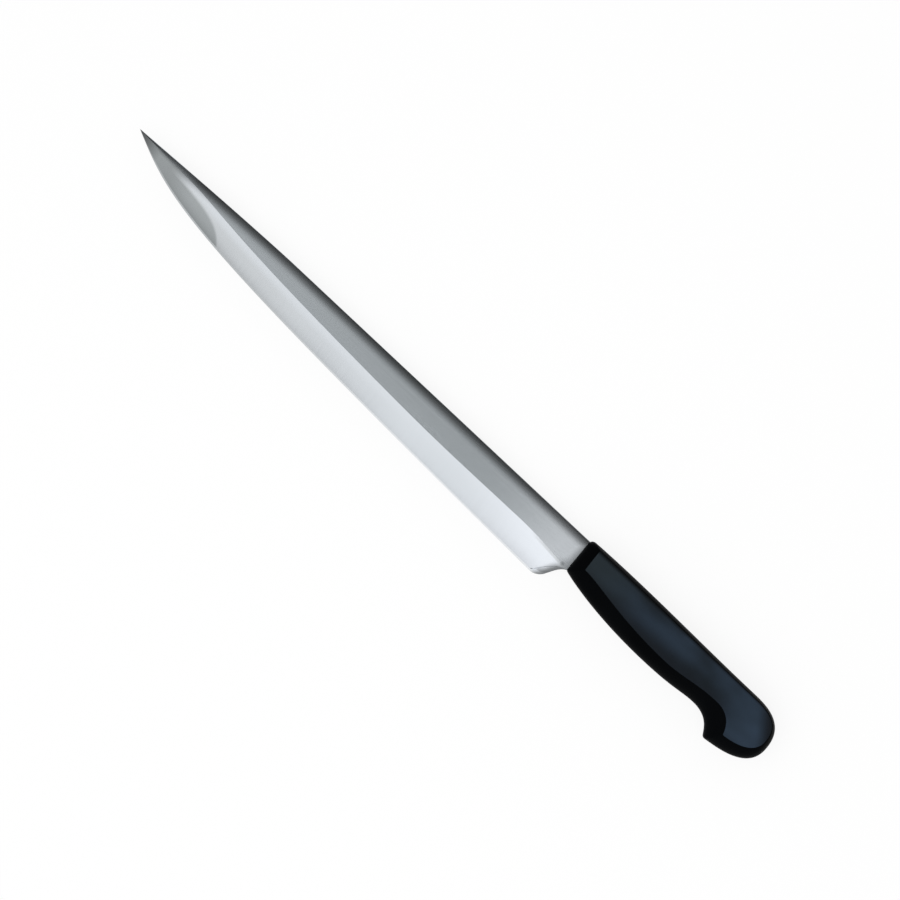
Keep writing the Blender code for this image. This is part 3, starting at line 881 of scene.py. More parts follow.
@dataclass(frozen=True)
class RolledPlastic:
    """The rolled sides of the handle: smoother, with the mould's parting line, painted near black as shade
    and lighter towards the middle of each side.
    """

    base: Colour = (0.0003, 0.0005, 0.0008)
    worn: Colour = (0.0012, 0.0016, 0.0022)
    side: Colour = (0.0024, 0.0034, 0.0046)
    cloud_wear: float = 0.5
    speck_wear: float = 0.3
    side_reach: Pair = (0.0010, 0.0036)
    side_share: Pair = (0.6, 0.4)
    line_width: float = 0.00012
    roughness: Triple = (0.41, 0.08, 0.06)
    gloss: float = 0.018
    grain_share: float = 0.25
    relief: float = 0.00004

    def material(self, effects: Effects) -> bpy.types.Material:
        """Builds the material.

        Args:
            effects: The shared effects.

        Returns:
            The material.
        """
        surface = SurfaceTree("rolled_plastic")
        at = surface.coordinates()
        grain = surface.effect(effects.pebbling, Position=at, Scale=3400.0)
        clouds = surface.effect(effects.clouding, Position=at, Stretch=1.5, Scale=55.0, Seed=8.1)["Clouds"]
        off_middle = (at.parts()[2] - effects.datum.z).math("ABSOLUTE")
        line = 1.0 - off_middle.eased(0.0, self.line_width)
        shade = (clouds * self.cloud_wear + grain["Specks"] * self.speck_wear).held()
        # Painted shade: near black by the creases, lighter towards the middle of each side.
        least, more = self.side_share
        beside = (1.0 - off_middle.eased(*self.side_reach)) * (clouds * more + least)
        smoothest, grained, clouded = self.roughness
        surface.set(
            Base_Color=surface.tinted(beside, surface.tinted(shade, self.base, self.worn), self.side),
            Roughness=grain["Grain"] * grained + clouds * clouded + smoothest,
            Specular_IOR_Level=self.gloss,
        )
        surface.bump(grain["Grain"] * self.grain_share + line, self.relief)
        return surface.material


def outward(mesh: bmesh.types.BMesh, piece: bpy.types.Object) -> None:
    """Turns every face of a closed mesh outwards and gives it to a piece.

    Args:
        mesh: The mesh, which isn't used after this.
        piece: The piece.
    """
    bmesh.ops.recalc_face_normals(mesh, faces=mesh.faces[:])
    mesh.to_mesh(piece.data)
    mesh.free()


def add_plate(mesh: bmesh.types.BMesh, outline: Sequence[Pair], half: float, datum: Datum) -> None:
    """Adds a closed flat plate.

    Args:
        mesh: The mesh that takes it.
        outline: Its corners, in order.
        half: Half its thickness.
        datum: Where the outline is set out from.
    """
    low = [mesh.verts.new((x + datum.x, y + datum.y, datum.z - half)) for x, y in outline]
    high = [mesh.verts.new((x + datum.x, y + datum.y, datum.z + half)) for x, y in outline]
    mesh.faces.new(low[::-1])
    mesh.faces.new(high)
    for number in range(len(outline)):
        following = (number + 1) % len(outline)
        mesh.faces.new((low[number], low[following], high[following], high[number]))


@dataclass
class Blade:
    """The blade and its tang: one sheet of steel, hollow ground, with an unground lip along its heel.

    Pairs are where a change starts and ends. Names that end in of_depth are shares of the blade's depth at
    the place.
    """

    datum: Datum
    effects: Effects
    length: float = 0.3000
    depth: float = 0.0307
    tip_drop: float = 0.0032
    spine_fall_length: float = 0.100
    spine_fall_power: float = 1.4
    edge_heel_angle: float = 1.4
    edge_heel_pull: float = 0.83
    edge_tip_angle: float = 25.0
    edge_tip_pull: float = 0.134
    thickness: float = 0.0025
    tip_thickness: float = 0.0012
    ricasso_length: float = 0.028
    point_length: float = 0.014
    point_power: float = 2.2
    spine_round: float = 0.0005
    round_of_depth: float = 0.05
    round_of_thickness: float = 0.35
    belt_width: float = 0.0050
    belt_of_depth: float = 0.30
    belt_drop: float = 0.00018
    dark_width: float = 0.0067
    dark_of_depth: float = 0.41
    dark_of_tip: float = 0.55
    dark_widening: Pair = (0.235, 0.285)
    dark_closing: Pair = (0.278, 0.298)
    wheel_radius: float = 0.150
    bevel_heel: float = 0.0155
    bevel_middle: float = 0.0131
    bevel_flare: float = 0.110
    bevel_of_depth: float = 0.80
    bevel_blend: float = 0.0016
    bevel_least: float = 0.4
    plunge_length: float = 0.035
    strip_width: float = 0.0008
    strip_of_depth: float = 0.08
    strip_thickness: float = 0.0004
    heel_set: float = 0.0079
    heel_round: float = 0.0045
    heel_angle: float = 63.4
    heel_pull: float = 0.0080
    choil_angle: float = 33.0
    choil_pull: float = 0.0045
    lip_width: float = 0.0048
    lip_narrowing: float = 0.94
    lip_corner: float = 0.08
    lip_fade: Pair = (0.0008, 0.0038)
    lip_dark: float = 0.85
    lip_foot: Pair = (0.10, 0.30)
    lip_top_light: float = 0.80
    lip_top_power: float = 5.0
    heel_fade: Pair = (0.0006, 0.0054)
    rim_width: float = 0.0018
    rim_dark: float = 0.95
    rim_foot: float = 0.06
    run_out: float = 0.0008
    shear_length: float = 0.045
    joint_depth: float = 0.0178
    joint_lean: float = 0.0011
    overlap: float = 0.0002
    tang_top: float = 0.0040
    tang_depth: float = 0.0100
    tang_end_depth: float = 0.0076
    tang_length: float = 0.096
    tang_fall: float = 0.0012
    tang_root: float = 0.0020
    tang_skin: float = 0.00002
    tang_steps: int = 10
    stations: int = 400
    strip_rows: int = 2
    hollow_rows: int = 20
    land_rows: int = 16
    round_rows: int = 4
    crowding: float = 1.5
    whole: float = 0.999
    merge_distance: float = 0.0000008
    least_edge: float = 0.0000002
    line_slack: float = 0.05
    zone_slack: float = 0.01

    def edge_line(self) -> Curve:
        """The cutting edge's curve, as (distance ahead, height).

        Returns:
            Its start at the heel, two pull points and the tip.
        """
        heel = Vector((self.heel_set, -self.depth))
        tip = Vector((self.length, -self.tip_drop))
        chord = (tip - heel).length
        heel_pull = heel + heading(self.edge_heel_angle) * self.edge_heel_pull * chord
        tip_pull = tip - heading(self.edge_tip_angle) * self.edge_tip_pull * chord
        return heel, heel_pull, tip_pull, tip

    def rear_line(self) -> Curve:
        """The heel's curve, from the cutting edge's corner up to the choil.

        Returns:
            Its start, two pull points and its end.
        """
        heel = Vector((self.heel_set, -self.depth))
        choil = Vector((-self.overlap - 0.5 * self.joint_lean, -self.joint_depth))
        heel_pull = heel + heading(180.0 - self.heel_angle) * self.heel_pull
        choil_pull = choil + heading(-self.choil_angle) * self.choil_pull
        return heel, heel_pull, choil_pull, choil

    def rear_share(self, height: float) -> float:
        """The share of the heel's curve that lies below a height.

        Args:
            height: The height over the cutting edge's corner.

        Returns:
            The share, from 0 to 1.
        """
        low, high = 0.0, 1.0
        for _ in range(30):
            middle = 0.5 * (low + high)
            if curve_point(*self.rear_line(), middle).y < height - self.depth:
                low = middle
            else:
                high = middle
        return low

    def shape(self) -> ShapeTree:
        """Builds the node tree that makes the blade's body.

        Returns:
            The tree.
        """
        shape = ShapeTree("blade_shape")
        length, depth, tip_drop, fall_length, thickness, tip_thickness = shape.takes(
            Blade_Length=self.length, Blade_Depth=self.depth, Tip_Drop=self.tip_drop,
            Spine_Fall_Length=self.spine_fall_length, Thickness=self.thickness,
            Tip_Thickness=self.tip_thickness,
        )
        wheel, belt_width, belt_drop, stations, rows = shape.takes(
            Wheel_Radius=self.wheel_radius, Belt_Width=self.belt_width, Belt_Drop=self.belt_drop,
            Stations=self.stations, Rows=2 * self.row_count(),
        )
        grid = shape.node("GeometryNodeMeshGrid", Vertices_X=stations, Vertices_Y=rows)
        x, y, _ = shape.field("GeometryNodeInputPosition", "Position").parts()
        station = ((x + 0.5) * (stations - 1.0)).math("ROUND")
        turn = ((y + 0.5) * (rows - 1.0)).math("ROUND")
        side = 1.0 - turn.above(rows * 0.5 - 0.5) * 2.0
        row = turn.least(rows - 1.0 - turn)

        # Shares along the blade and across its section
        t = ((station - 1.0) / (stations - 2.0)).most(0.0)
        s = 1.0 - (1.0 - t * t).most(0.0) ** self.crowding
        in_strip = (row - 1.0).held()
        over_strip = row - self.strip_rows
        in_hollow = (over_strip / self.hollow_rows).held()
        in_land = 1.0 - (1.0 - ((over_strip - self.hollow_rows) / self.land_rows).held()) ** self.crowding
        in_round = ((over_strip - self.hollow_rows - self.land_rows) / self.round_rows).held()

        # The cutting edge, and the heel's slant, which dies out ahead of it
        edge_x, edge_y = curve_fields(self.edge_line(), s)
        inset = edge_x - self.heel_set
        lip_end = self.lip_width + self.run_out
        slant = 1.0 - inset.eased(lip_end, lip_end + self.shear_length)
        inside = (self.heel_round - inset).most(0.0)
        lift = self.heel_round - (self.heel_round**2 - inside * inside).most(0.0).math("SQRT")
        corner = lift * (self.rear_share(self.heel_round) / self.heel_round)
        strip_height = self.heel_round + self.strip_width
        strip_top = (lift + self.strip_width) * (self.rear_share(strip_height) / strip_height)
        up_rear = in_strip * (strip_top - corner) + in_hollow * (1.0 - strip_top) + corner
        rear_x, rear_y = curve_fields(self.rear_line(), up_rear)
        narrowed = inset * up_rear * self.lip_narrowing
        ahead = edge_x - (self.heel_set - (rear_x + in_land * self.joint_lean) + narrowed) * slant
        edge = (edge_y + (ahead - edge_x) * math.tan(math.radians(self.edge_heel_angle))).most(depth * -1.0)

        # Heights
        fall = ((ahead - length + fall_length) / fall_length).most(0.0)
        spine = (fall ** self.spine_fall_power) * tip_drop * -1.0
        tall = (spine - edge).most(0.0)
        width = self.bevel_width(ahead, tall, depth)
        strip = (tall * self.strip_of_depth).least(self.strip_width)
        flat_half = self.half_thickness(ahead, length, thickness, tip_thickness)
        rounding = (tall * self.round_of_depth).least(flat_half * self.round_of_thickness)
        rounding = rounding.least(self.spine_round)
        low = edge + lift + strip * in_strip
        evenly = in_hollow.between(in_strip * self.strip_width + lift - self.depth, -self.joint_depth)
        hollow_y = in_hollow.between(low, edge + width) + (rear_y - evenly) * slant
        quarter = in_round * (0.5 * math.pi)
        height = in_land.between(hollow_y, spine - rounding) + rounding * quarter.math("SINE")

        # The unground lip of the heel: where the steel stays whole, and the painted shade on it, along its
        # run-out and along the heel's rim
        ground = inset.eased(self.lip_width, lip_end)
        ground = ground.most(1.0 - in_hollow.eased(0.0, self.lip_corner))
        behind = ahead - rear_x
        off_foot = ground.most(1.0 - in_hollow.eased(*self.lip_foot))
        upper_lip = (1.0 - behind.eased(*self.lip_fade)) * self.lip_dark
        lip = off_foot.between(upper_lip, 1.0 - behind.eased(*self.heel_fade))
        top = in_hollow ** self.lip_top_power
        lip = lip * (1.0 - top * self.lip_top_light)
        # Painted shade along the heel's rim.
        under = 1.0 - inset.eased(self.rim_width, self.heel_round)
        under = under * (1.0 - in_hollow.eased(0.0, self.rim_foot))
        rim = (1.0 - inset.eased(0.0, self.rim_width)).most(under) * (1.0 - top) * self.rim_dark

        # Half thicknesses of the hollow and of the flat, and the band of painted shade along the spine
        down = 1.0 - in_hollow
        sag = width * width * down * (1.0 - down) / (wheel * 2.0)
        hollow_z = down.between(flat_half, 0.5 * self.strip_thickness) - sag
        ground_z = ground.between(flat_half, in_strip * hollow_z)
        under_spine = spine - height
        belt_and_spine_shade = (1.0 - under_spine / (tall * self.belt_of_depth).least(belt_width).most(TINY)).held()
        # Painted shade along the spine: a band that widens towards the point, kept on the points for the
        # steels.
        dark_share = ahead.eased(*self.dark_widening).between(self.dark_of_depth, self.dark_of_tip)
        dark_share = dark_share + ahead.eased(*self.dark_closing) * (1.0 - self.dark_of_tip)
        dark = (1.0 - under_spine / (tall * dark_share).least(self.dark_width).most(TINY)).held()
        land_z = flat_half - belt_drop * belt_and_spine_shade * belt_and_spine_shade - rounding * (1.0 - quarter.math("COSINE"))
        half = in_hollow.above(self.whole).between(ground_z, land_z) * self.point_share(ahead, length)
        half = half * row.above(0.5) * station.above(0.5)

        geometry = grid.outputs["Mesh"]
        crisp = (1.0 - inset.above(lip_end + self.run_out)) * (1.0 - in_land.above(0.0))
        marks = {"row": row, "belt_and_spine_shade": dark, "hollow": in_hollow, "lip": lip.most(rim), "crisp": crisp}
        for name, value in marks.items():
            geometry = shape.stored(geometry, name, value)
        place = shape.vector(self.datum.x - ahead, height + self.datum.y, half * side + self.datum.z)
        self.finish(shape, shape.changed("GeometryNodeSetPosition", geometry, Position=place))
        return shape

    def row_count(self) -> int:
        """Rows from the middle of the cutting edge up to the spine, on one side."""
        return 1 + self.strip_rows + self.hollow_rows + self.land_rows + self.round_rows

    def bevel_width(self, ahead: Field, tall: Field, depth: Field) -> Field:
        """Width of the hollow: the grinder's own width, less near the tip and where it plunges.

        Args:
            ahead: The distance ahead of the handle.
            tall: The blade's depth there.
            depth: The blade's depth at the heel.

        Returns:
            The width.
        """
        own = ahead.eased(0.0, self.bevel_flare).between(self.bevel_heel, self.bevel_middle)
        plunge = (1.0 - ahead / self.plunge_length).most(0.0)
        own = own - plunge * plunge * (self.bevel_heel - (depth - self.joint_depth))
        room = tall * self.bevel_of_depth
        softer = (own + room - ((own - room).squared() + self.bevel_blend**2).math("SQRT")) * 0.5
        return softer.most(room * self.bevel_least)

    def half_thickness(self, ahead: Field, length: Field, thickness: Field, tip_thickness: Field) -> Field:
        """Half the thickness of the flats, which taper from the ricasso to the tip."""
        taper = ((ahead - self.ricasso_length) / (length - self.ricasso_length)).held()
        return taper.between(thickness, tip_thickness) * 0.5

    def point_share(self, ahead: Field, length: Field) -> Field:
        """The share of its thickness that the blade keeps near the point."""
        left = ((length - ahead) / self.point_length).held()
        return 1.0 - (1.0 - left) ** self.point_power

    def finish(self, shape: ShapeTree, geometry: Socket) -> None:
        """Closes the section, and gives its zones their creases and finishes.

        Args:
            shape: The tree.
            geometry: The moved grid, with its rows' numbers on its points.
        """
        geometry = shape.changed("GeometryNodeMergeByDistance", geometry, Distance=self.merge_distance)
        geometry = shape.shaded(geometry, True)
        row = shape.kept("row")
        strip_top = float(self.strip_rows)
        wheel_top = strip_top + self.hollow_rows
        for line in (wheel_top, strip_top):
            on_line = (self.line_slack - (row - line).math("ABSOLUTE")).above(0.0)
            geometry = shape.creased(geometry, on_line)
        cutting_edge = (1.0 + self.line_slack - row).above(0.0)
        for creases in (cutting_edge, shape.kept("crisp").above(1.0 - self.zone_slack)):
            geometry = shape.creased(geometry, creases)
        in_edge = row.above(1.0 + self.zone_slack) * (strip_top + self.zone_slack - row).above(0.0)
        in_hollow = row.above(strip_top + self.zone_slack) * (wheel_top - row).above(0.0)
        shape.finish(geometry, {
            Zone.FLAT: (SatinSteel().material(self.effects), True),
            Zone.HOLLOW: (GroundSteel().material(self.effects), in_hollow),
            Zone.EDGE: (HonedSteel().material(self.effects), in_edge),
        })

    def tang(self) -> List[Pair]:
        """The outline of the stub of steel inside the handle.

        Returns:
            Its corners, round its rounded end and back.
        """
        end_half = 0.5 * self.tang_end_depth
        straight = self.tang_length - end_half
        profile: List[Pair] = [(-self.tang_root, 0.5 * self.tang_depth), (straight, end_half)]
        for step in range(1, self.tang_steps):
            turn = math.radians(90.0) * step / self.tang_steps
            profile.append((straight + end_half * math.sin(turn), end_half * math.cos(turn)))
        upper = [(x, self.tang_middle(x) + tall) for x, tall in profile]
        lower = [(x, self.tang_middle(x) - tall) for x, tall in profile]
        return lower + upper[::-1]

    def tang_middle(self, x: float) -> float:
        """The height of the tang's middle line."""
        return -(self.tang_top + 0.5 * self.tang_depth) - self.tang_fall * max(x, 0.0) / self.tang_length

    def build(self) -> bpy.types.Object:
        """Makes the blade and stands it in for the frame's own.

        Returns:
            The piece.
        """
        piece = self.shape().make("knife_blade")
        mesh = bmesh.new()
        mesh.from_mesh(piece.data)
        add_plate(mesh, self.tang(), 0.5 * self.thickness - self.tang_skin, self.datum)
        bmesh.ops.dissolve_degenerate(mesh, edges=mesh.edges[:], dist=self.least_edge)
        outward(mesh, piece)
        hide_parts("blade")
        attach(piece, BODY)
        return piece


@dataclass(frozen=True)
class Bend:
    """A bend of an outline.

    The headings are before and after it. The pulls say how far the curve keeps to each of them, as a share
    of the span, and the roll is the power of the side's roll there.
    """

    point: Vector
    headings: Pair
    pulls: Pair
    rounding: float
    roll: float


@dataclass
class Handle:
    """The moulded handle: flat sides that roll over to a hooked outline.

    The insets, pulls and rolls are one for each bend, clockwise from the upper front corner.
    """

    datum: Datum
    effects: Effects
    length: float = 0.1319
    thickness: float = 0.0180
    joint_depth: float = 0.0178
    joint_lean: float = 0.0011
    top_rise: float = 0.001497
    top_angle: float = 1.8
    shoulder_from_end: float = 0.0220
    shoulder_rise: float = 0.00070
    end_depth: float = 0.01625
    hook_from_end: float = 0.0264
    hook_depth: float = 0.03233
    hook_angles: Pair = (8.0, 50.0)
    neck_from_end: float = 0.0419
    neck_depth: float = 0.02285
    belly_from_front: float = 0.0580
    belly_depth: float = 0.02485
    chin_angle: float = 18.4
    chin: float = 0.0003
    top_round: float = 0.0028
    chin_round: float = 0.0010
    hook_round: float = 0.0010
    flat_round: float = 0.0006
    flat_hook_angles: Pair = (6.8, 73.0)
    flat_chin_angle: float = -2.0
    insets: Tuple[Pair, ...] = (
        (0.0062, -0.0013), (0.0020, -0.0015), (-0.0032, 0.0031), (0.0053, 0.0074),
        (0.0060, 0.0078), (0.0080, 0.0070), (0.0061, 0.0060),
    )
    pulls: Tuple[Pair, ...] = (
        (0.30, 0.33), (0.33, 0.29), (0.59, 0.45), (0.25, 0.16), (0.63, 0.24), (0.64, 0.57), (0.06, 0.30),
    )
    flat_pulls: Tuple[Pair, ...] = (
        (0.30, 0.33), (0.33, 0.33), (0.55, 0.30), (0.56, 0.60), (0.15, 0.35), (0.39, 0.53), (0.14, 0.30),
    )
    rolls: Tuple[float, ...] = (3.4, 3.4, 2.8, 2.4, 2.2, 2.2, 3.0)
    round_pull: float = 0.55
    round_steps: int = 8
    span_steps: int = 8
    span_facet: float = 0.0022
    span_turn: float = 2.5
    levels: int = 20
    crease: float = 0.00035
    crease_levels: int = 4
    merge_distance: float = 0.000002
    side_corners: float = 4.5

    def outer_bends(self) -> List[Bend]:
        """The bends of the handle's outline, clockwise from its upper front corner.

        Returns:
            The bends.
        """
        chin = self.joint_depth + self.chin
        places = [
            Vector((self.joint_x(self.top_rise), self.top_rise)),
            Vector((self.length - self.shoulder_from_end, self.shoulder_rise)),
            Vector((self.length, -self.end_depth)),
            Vector((self.length - self.hook_from_end, -self.hook_depth)),
            Vector((self.length - self.neck_from_end, -self.neck_depth)),
            Vector((self.belly_from_front, -self.belly_depth)),
            Vector((self.joint_x(-chin), -chin)),
        ]
        rounds = (self.top_round, 0.0, 0.0, self.hook_round, 0.0, 0.0, self.chin_round)
        return self.bends(places, self.top_angle, self.hook_angles, self.chin_angle, self.pulls, rounds)

    def flat_bends(self) -> List[Bend]:
        """The bends of the flat's border, each set in from the outline's bend of the same number.

        Returns:
            The bends.
        """
        outer = self.outer_bends()
        places = [bend.point + Vector(inset) for bend, inset in zip(outer, self.insets)]
        rounds = [self.flat_round if bend.rounding > 0.0 else 0.0 for bend in outer]
        return self.bends(places, 0.0, self.flat_hook_angles, self.flat_chin_angle, self.flat_pulls, rounds)

    def bends(
        self, places: Sequence[Vector], top: float, hook: Pair, chin: float, pulls: Sequence[Pair],
        rounds: Sequence[float],
    ) -> List[Bend]:
        """Puts the bends of one outline together.

        Args:
            places: Where the bends lie.
            top: The slope of the back at its front end.
            hook: The slopes under the hook and inside it.
            chin: The slope of the belly at its front end.
            pulls: How far the outline keeps to its headings.
            rounds: The rounding of each bend.

        Returns:
            The bends.
        """
        up = math.degrees(math.atan2(places[0].y - places[-1].y, places[0].x - places[-1].x))
        headings = (
            (up, top), (0.0, 0.0), (-90.0, -90.0), (180.0 + hook[0], 180.0 - hook[1]),
            (180.0, 180.0), (180.0, 180.0), (180.0 - chin, up),
        )
        return [Bend(*row) for row in zip(places, headings, pulls, rounds, self.rolls)]

    def joint_x(self, height: float) -> float:
        """The handle's front face, which leans a little."""
        return self.joint_lean * (-height / self.joint_depth - 0.5)

    def steps(self) -> List[int]:
        """How many facets each span has: more where it is longer or turns more.

        Returns:
            The counts, from the first bend on.
        """
        bends = self.outer_bends()
        counts = []
        for bend, following in zip(bends, bends[1:] + bends[:1]):
            span = (following.point - bend.point).length
            turn = abs((following.headings[0] - bend.headings[1] + 180.0) % 360.0 - 180.0)
            counts.append(self.span_steps + round(span / self.span_facet + turn / self.span_turn))
        return counts

    def outline(self, bends: List[Bend]) -> List[Tuple[Vector, float]]:
        """Points of a closed outline, with the same count for both outlines.

        Args:
            bends: Its bends.

        Returns:
            Each point's place and the power of the roll there.
        """
        points: List[Tuple[Vector, float]] = []
        for bend, following, steps in zip(bends, bends[1:] + bends[:1], self.steps()):
            leave, arrive = heading(bend.headings[1]), heading(following.headings[0])
            start = bend.point + leave * bend.rounding
            end = following.point - arrive * following.rounding
            if bend.rounding > 0.0:
                before = bend.point - heading(bend.headings[0]) * bend.rounding
                corner = [before, before.lerp(bend.point, self.round_pull)]
                corner += [start.lerp(bend.point, self.round_pull), start]
                for step in range(self.round_steps):
                    points.append((curve_point(*corner, step / self.round_steps), bend.roll))
            chord = (end - start).length
            start_pull = start + leave * bend.pulls[1] * chord
            end_pull = end - arrive * following.pulls[0] * chord
            for step in range(steps):
                share = step / steps
                roll = bend.roll + (following.roll - bend.roll) * share
                points.append((curve_point(start, start_pull, end_pull, end, share), roll))
        return points

    def ribs(self) -> bpy.types.Mesh:
        """The points of the outline, with their places, their ways in to the flat's border and their rolls.

        Returns:
            A mesh of loose points with the attributes start, inset and roll.
        """
        outer = self.outline(self.outer_bends())
        flat = self.outline(self.flat_bends())
        starts = [(place.x, place.y, 0.0) for place, _ in outer]
        insets = [(inner.x - place.x, inner.y - place.y, 0.0) for (place, _), (inner, _) in zip(outer, flat)]
        mesh = bpy.data.meshes.new("handle_ribs")
        mesh.from_pydata(starts, [], [])
        for name, values in (("start", starts), ("inset", insets)):
            kept = mesh.attributes.new(name, "FLOAT_VECTOR", "POINT")
            kept.data.foreach_set("vector", [part for value in values for part in value])
        rolls = mesh.attributes.new("roll", "FLOAT", "POINT")
        rolls.data.foreach_set("value", [power for _, power in outer])
        return mesh

    def shape(self, count: int) -> ShapeTree:
        """Builds the node tree that rolls the sides over from the outline to the flats.

        Args:
            count: How many points the outline has.

        Returns:
            The tree.
        """
        shape = ShapeTree("handle_shape")
        all_levels = self.levels + self.crease_levels
        ribs = shape.points_input()
        half, crease, around, levels = shape.takes(
            Half_Thickness=0.5 * self.thickness, Crease=self.crease, Points_Around=count,
            Levels=2 * all_levels + 1,
        )
        wall = shape.node("GeometryNodeMeshGrid", Vertices_X=around + 1.0, Vertices_Y=levels)
        x, y, _ = shape.field("GeometryNodeInputPosition", "Position").parts()
        number = ((x + 0.5) * around).math("ROUND")
        number = number - number.above(around - 0.5) * around
        level = y.math("ABSOLUTE") * 2.0 * all_levels
        climb = (level / self.levels).held()
        over = ((level - self.levels) / self.crease_levels).held()
        rolled = self.rib_place(shape, ribs, number, (climb, over, y.above(0.0) * 2.0 - 1.0), (half, crease))
        side = shape.changed("GeometryNodeSetPosition", wall.outputs["Mesh"], Position=rolled)

        join = shape.node("GeometryNodeJoinGeometry")
        for sign in (-1.0, 1.0):
            disc = shape.node("GeometryNodeMeshCircle", fill_type="NGON", Vertices=around)
            index = shape.field("GeometryNodeInputIndex", "Index")
            border = self.rib_place(shape, ribs, index, (1.0, 1.0, sign), (half, crease))
            cap = shape.changed("GeometryNodeSetPosition", disc.outputs["Mesh"], Position=border)
            feed(shape.tree, shape.shaded(cap, False), join.inputs["Geometry"])
        feed(shape.tree, shape.shaded(side, True), join.inputs["Geometry"])
        joined = join.outputs["Geometry"]
        merged = shape.changed("GeometryNodeMergeByDistance", joined, Distance=self.merge_distance)
        corners = shape.field("GeometryNodeInputMeshFaceNeighbors", "Vertex Count")
        shape.finish(merged, {
            HandleZone.ROLLED: (RolledPlastic().material(self.effects), True),
            HandleZone.PANEL: (PanelPlastic().material(self.effects), corners.above(self.side_corners)),
        })
        return shape

    def rib_place(
        self, shape: ShapeTree, ribs: Socket, number: Field, way: Tuple[Value, Value, Value],
        sizes: Tuple[Field, Field],
    ) -> Field:
        """A place on one rib of the side, or on the rounded crease between it and the flat.

        Args:
            shape: The tree.
            ribs: The outline's points.
            number: The number of the rib.
            way: The share of the way up the side, then that over the crease, and 1 for the upper side or -1.
            sizes: Half the handle's thickness, and how far the crease's rounding reaches to each side.

        Returns:
            The place.
        """
        climb, over, up = way
        half, crease = sizes
        start_x, start_y, _ = shape.sampled(ribs, number, "start", "FLOAT_VECTOR").parts()
        inset_x, inset_y, _ = shape.sampled(ribs, number, "inset", "FLOAT_VECTOR").parts()
        roll = shape.sampled(ribs, number, "roll")
        reach = hypotenuse(inset_x, inset_y)
        level = (1.0 - crease / hypotenuse(reach * roll, half)) * climb
        left = 1.0 - over
        before = left * left
        past = crease / reach + 1.0
        share = level ** roll * before + (1.0 - before - over * over) + past * (over * over)
        height = level * before + (1.0 - before)
        return shape.vector(
            start_x + inset_x * share + self.datum.x,
            start_y + inset_y * share + self.datum.y,
            height * half * up + self.datum.z,
        )

    def build(self) -> bpy.types.Object:
        """Makes the handle and stands it in for the frame's own.

        Returns:
            The piece.
        """
        ribs = self.ribs()
        piece = self.shape(len(ribs.vertices)).make("knife_handle", ribs)
        mesh = bmesh.new()
        mesh.from_mesh(piece.data)
        outward(mesh, piece)
        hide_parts("handle")
        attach(piece, BODY)
        return piece


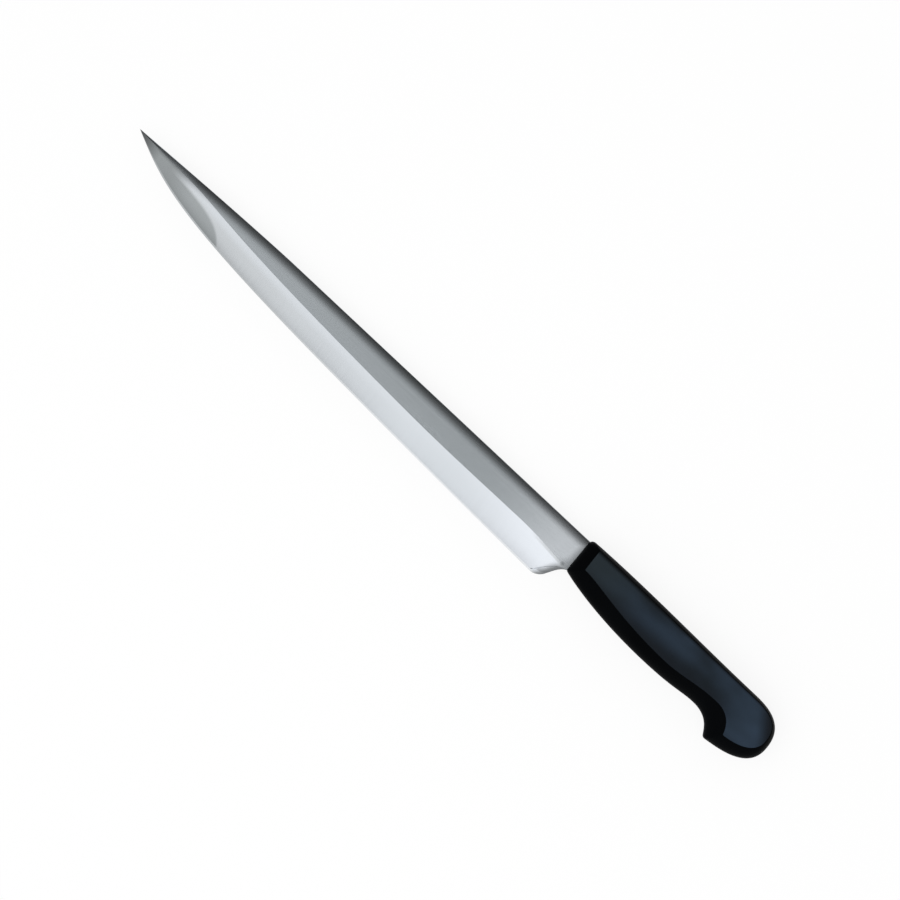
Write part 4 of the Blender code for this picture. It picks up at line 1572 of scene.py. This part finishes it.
@dataclass(frozen=True)
class Studio:
    """A pale floor under a plain soft ceiling, bright on the cutting edge's side and dim on the spine's."""

    floor_half: float = 4.0
    floor_colour: Colour = (0.96, 0.96, 0.96)
    floor_roughness: float = 0.9
    floor_own: float = 0.14
    bright: float = 1.12
    dim: float = 0.04
    bright_to_dim: Pair = (-0.06, 0.11)
    wall: float = 1.0
    wall_to_ceiling: Pair = (0.55, 0.85)
    least_height: float = 0.05
    lamp_place: Triple = (0.0, -0.2, 0.9)
    lamp_size: float = 1.2
    lamp_power: float = 3.0

    def floor(self) -> None:
        """Lays the floor, which keeps part of its own shading under the white that the camera sees."""
        mesh = bpy.data.meshes.new("floor")
        half = self.floor_half
        corners = [(-half, -half, 0.0), (half, -half, 0.0), (half, half, 0.0), (-half, half, 0.0)]
        mesh.from_pydata(corners, [], [(0, 1, 2, 3)])
        surface = SurfaceTree("floor")
        surface.set(
            Base_Color=(*self.floor_colour, 1.0), Roughness=self.floor_roughness, Specular_IOR_Level=0.0,
        )
        rays = surface.node("ShaderNodeLightPath")
        seen = Field(surface.tree, rays.outputs["Is Camera Ray"])
        for name in ("Is Glossy Ray", "Is Transmission Ray"):
            seen = seen.most(Field(surface.tree, rays.outputs[name]))
        mixed = surface.node("ShaderNodeMixShader")
        shades = (seen * (1.0 - self.floor_own), surface.shader.outputs[0])
        for value, socket in zip((*shades, surface.node("ShaderNodeEmission").outputs[0]), mixed.inputs):
            feed(surface.tree, value, socket)
        feed(surface.tree, mixed.outputs[0], surface.tree.nodes["Material Output"].inputs["Surface"])
        mesh.materials.append(surface.material)
        placed("floor", mesh)

    def ceiling(self) -> None:
        """Sets the world: white walls, and overhead a soft fall from the bright side to the dim one."""
        world = bpy.data.worlds.new("studio")
        world.use_nodes = True
        bpy.context.scene.world = world
        tree = Tree(world.node_tree)
        _, y, z = tree.field("ShaderNodeTexCoord", "Generated").parts()
        tilt = y / z.most(self.least_height)
        overhead = tilt.eased(*self.bright_to_dim).between(self.bright, self.dim)
        level = z.eased(*self.wall_to_ceiling).between(self.wall, overhead)
        feed(tree.tree, level, tree.tree.nodes["Background"].inputs["Color"])

    def lamp(self) -> None:
        """Hangs a large soft lamp that lights the floor and the plastic, but doesn't show in the steel."""
        data = bpy.data.lights.new("soft_lamp", "AREA")
        data.shape = "SQUARE"
        data.size = self.lamp_size
        data.energy = self.lamp_power
        lamp = placed("soft_lamp", data)
        lamp.location = self.lamp_place
        lamp.visible_camera = False
        lamp.visible_glossy = False

    def build(self) -> None:
        """Makes the studio."""
        self.floor()
        self.ceiling()
        self.lamp()


@dataclass(frozen=True)
class View:
    """The camera: straight above the knife, on a long lens, and turned so that the tip is up and left."""

    datum: Datum
    width: float = 0.4415
    distance: float = 2.0
    sensor: float = 36.0
    clip: Pair = (0.05, 50.0)
    centre: Pair = (-0.0813, -0.01415)
    turn: Pair = (0.7297, 0.6839)

    def build(self) -> bpy.types.Object:
        """Makes the camera.

        Returns:
            The camera.
        """
        data = bpy.data.cameras.new("camera")
        data.sensor_width = self.sensor
        data.lens = self.sensor * self.distance / self.width
        data.clip_start, data.clip_end = self.clip
        camera = placed("camera", data)
        camera.location = self.datum.vector() + Vector((*self.centre, self.distance))
        camera.rotation_euler = (0.0, 0.0, math.atan2(self.turn[1], self.turn[0]))
        bpy.context.scene.camera = camera
        return camera


def main() -> None:
    """Builds the knife and its studio, and reports each piece."""
    logging.basicConfig(level=logging.INFO, format="%(name)s: %(message)s")
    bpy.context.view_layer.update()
    datum = Datum.from_frame(Handle.length)
    effects = Effects(datum)
    bpy.context.scene.view_settings.view_transform = "Standard"
    View(datum).build()
    for builder in (Blade(datum, effects), Handle(datum, effects)):
        piece = builder.build()
        shell = piece.data
        log.info("%s: %d faces, %d finishes", piece.name, len(shell.polygons), len(shell.materials))
    Studio().build()


if __name__ == "__main__":
    main()
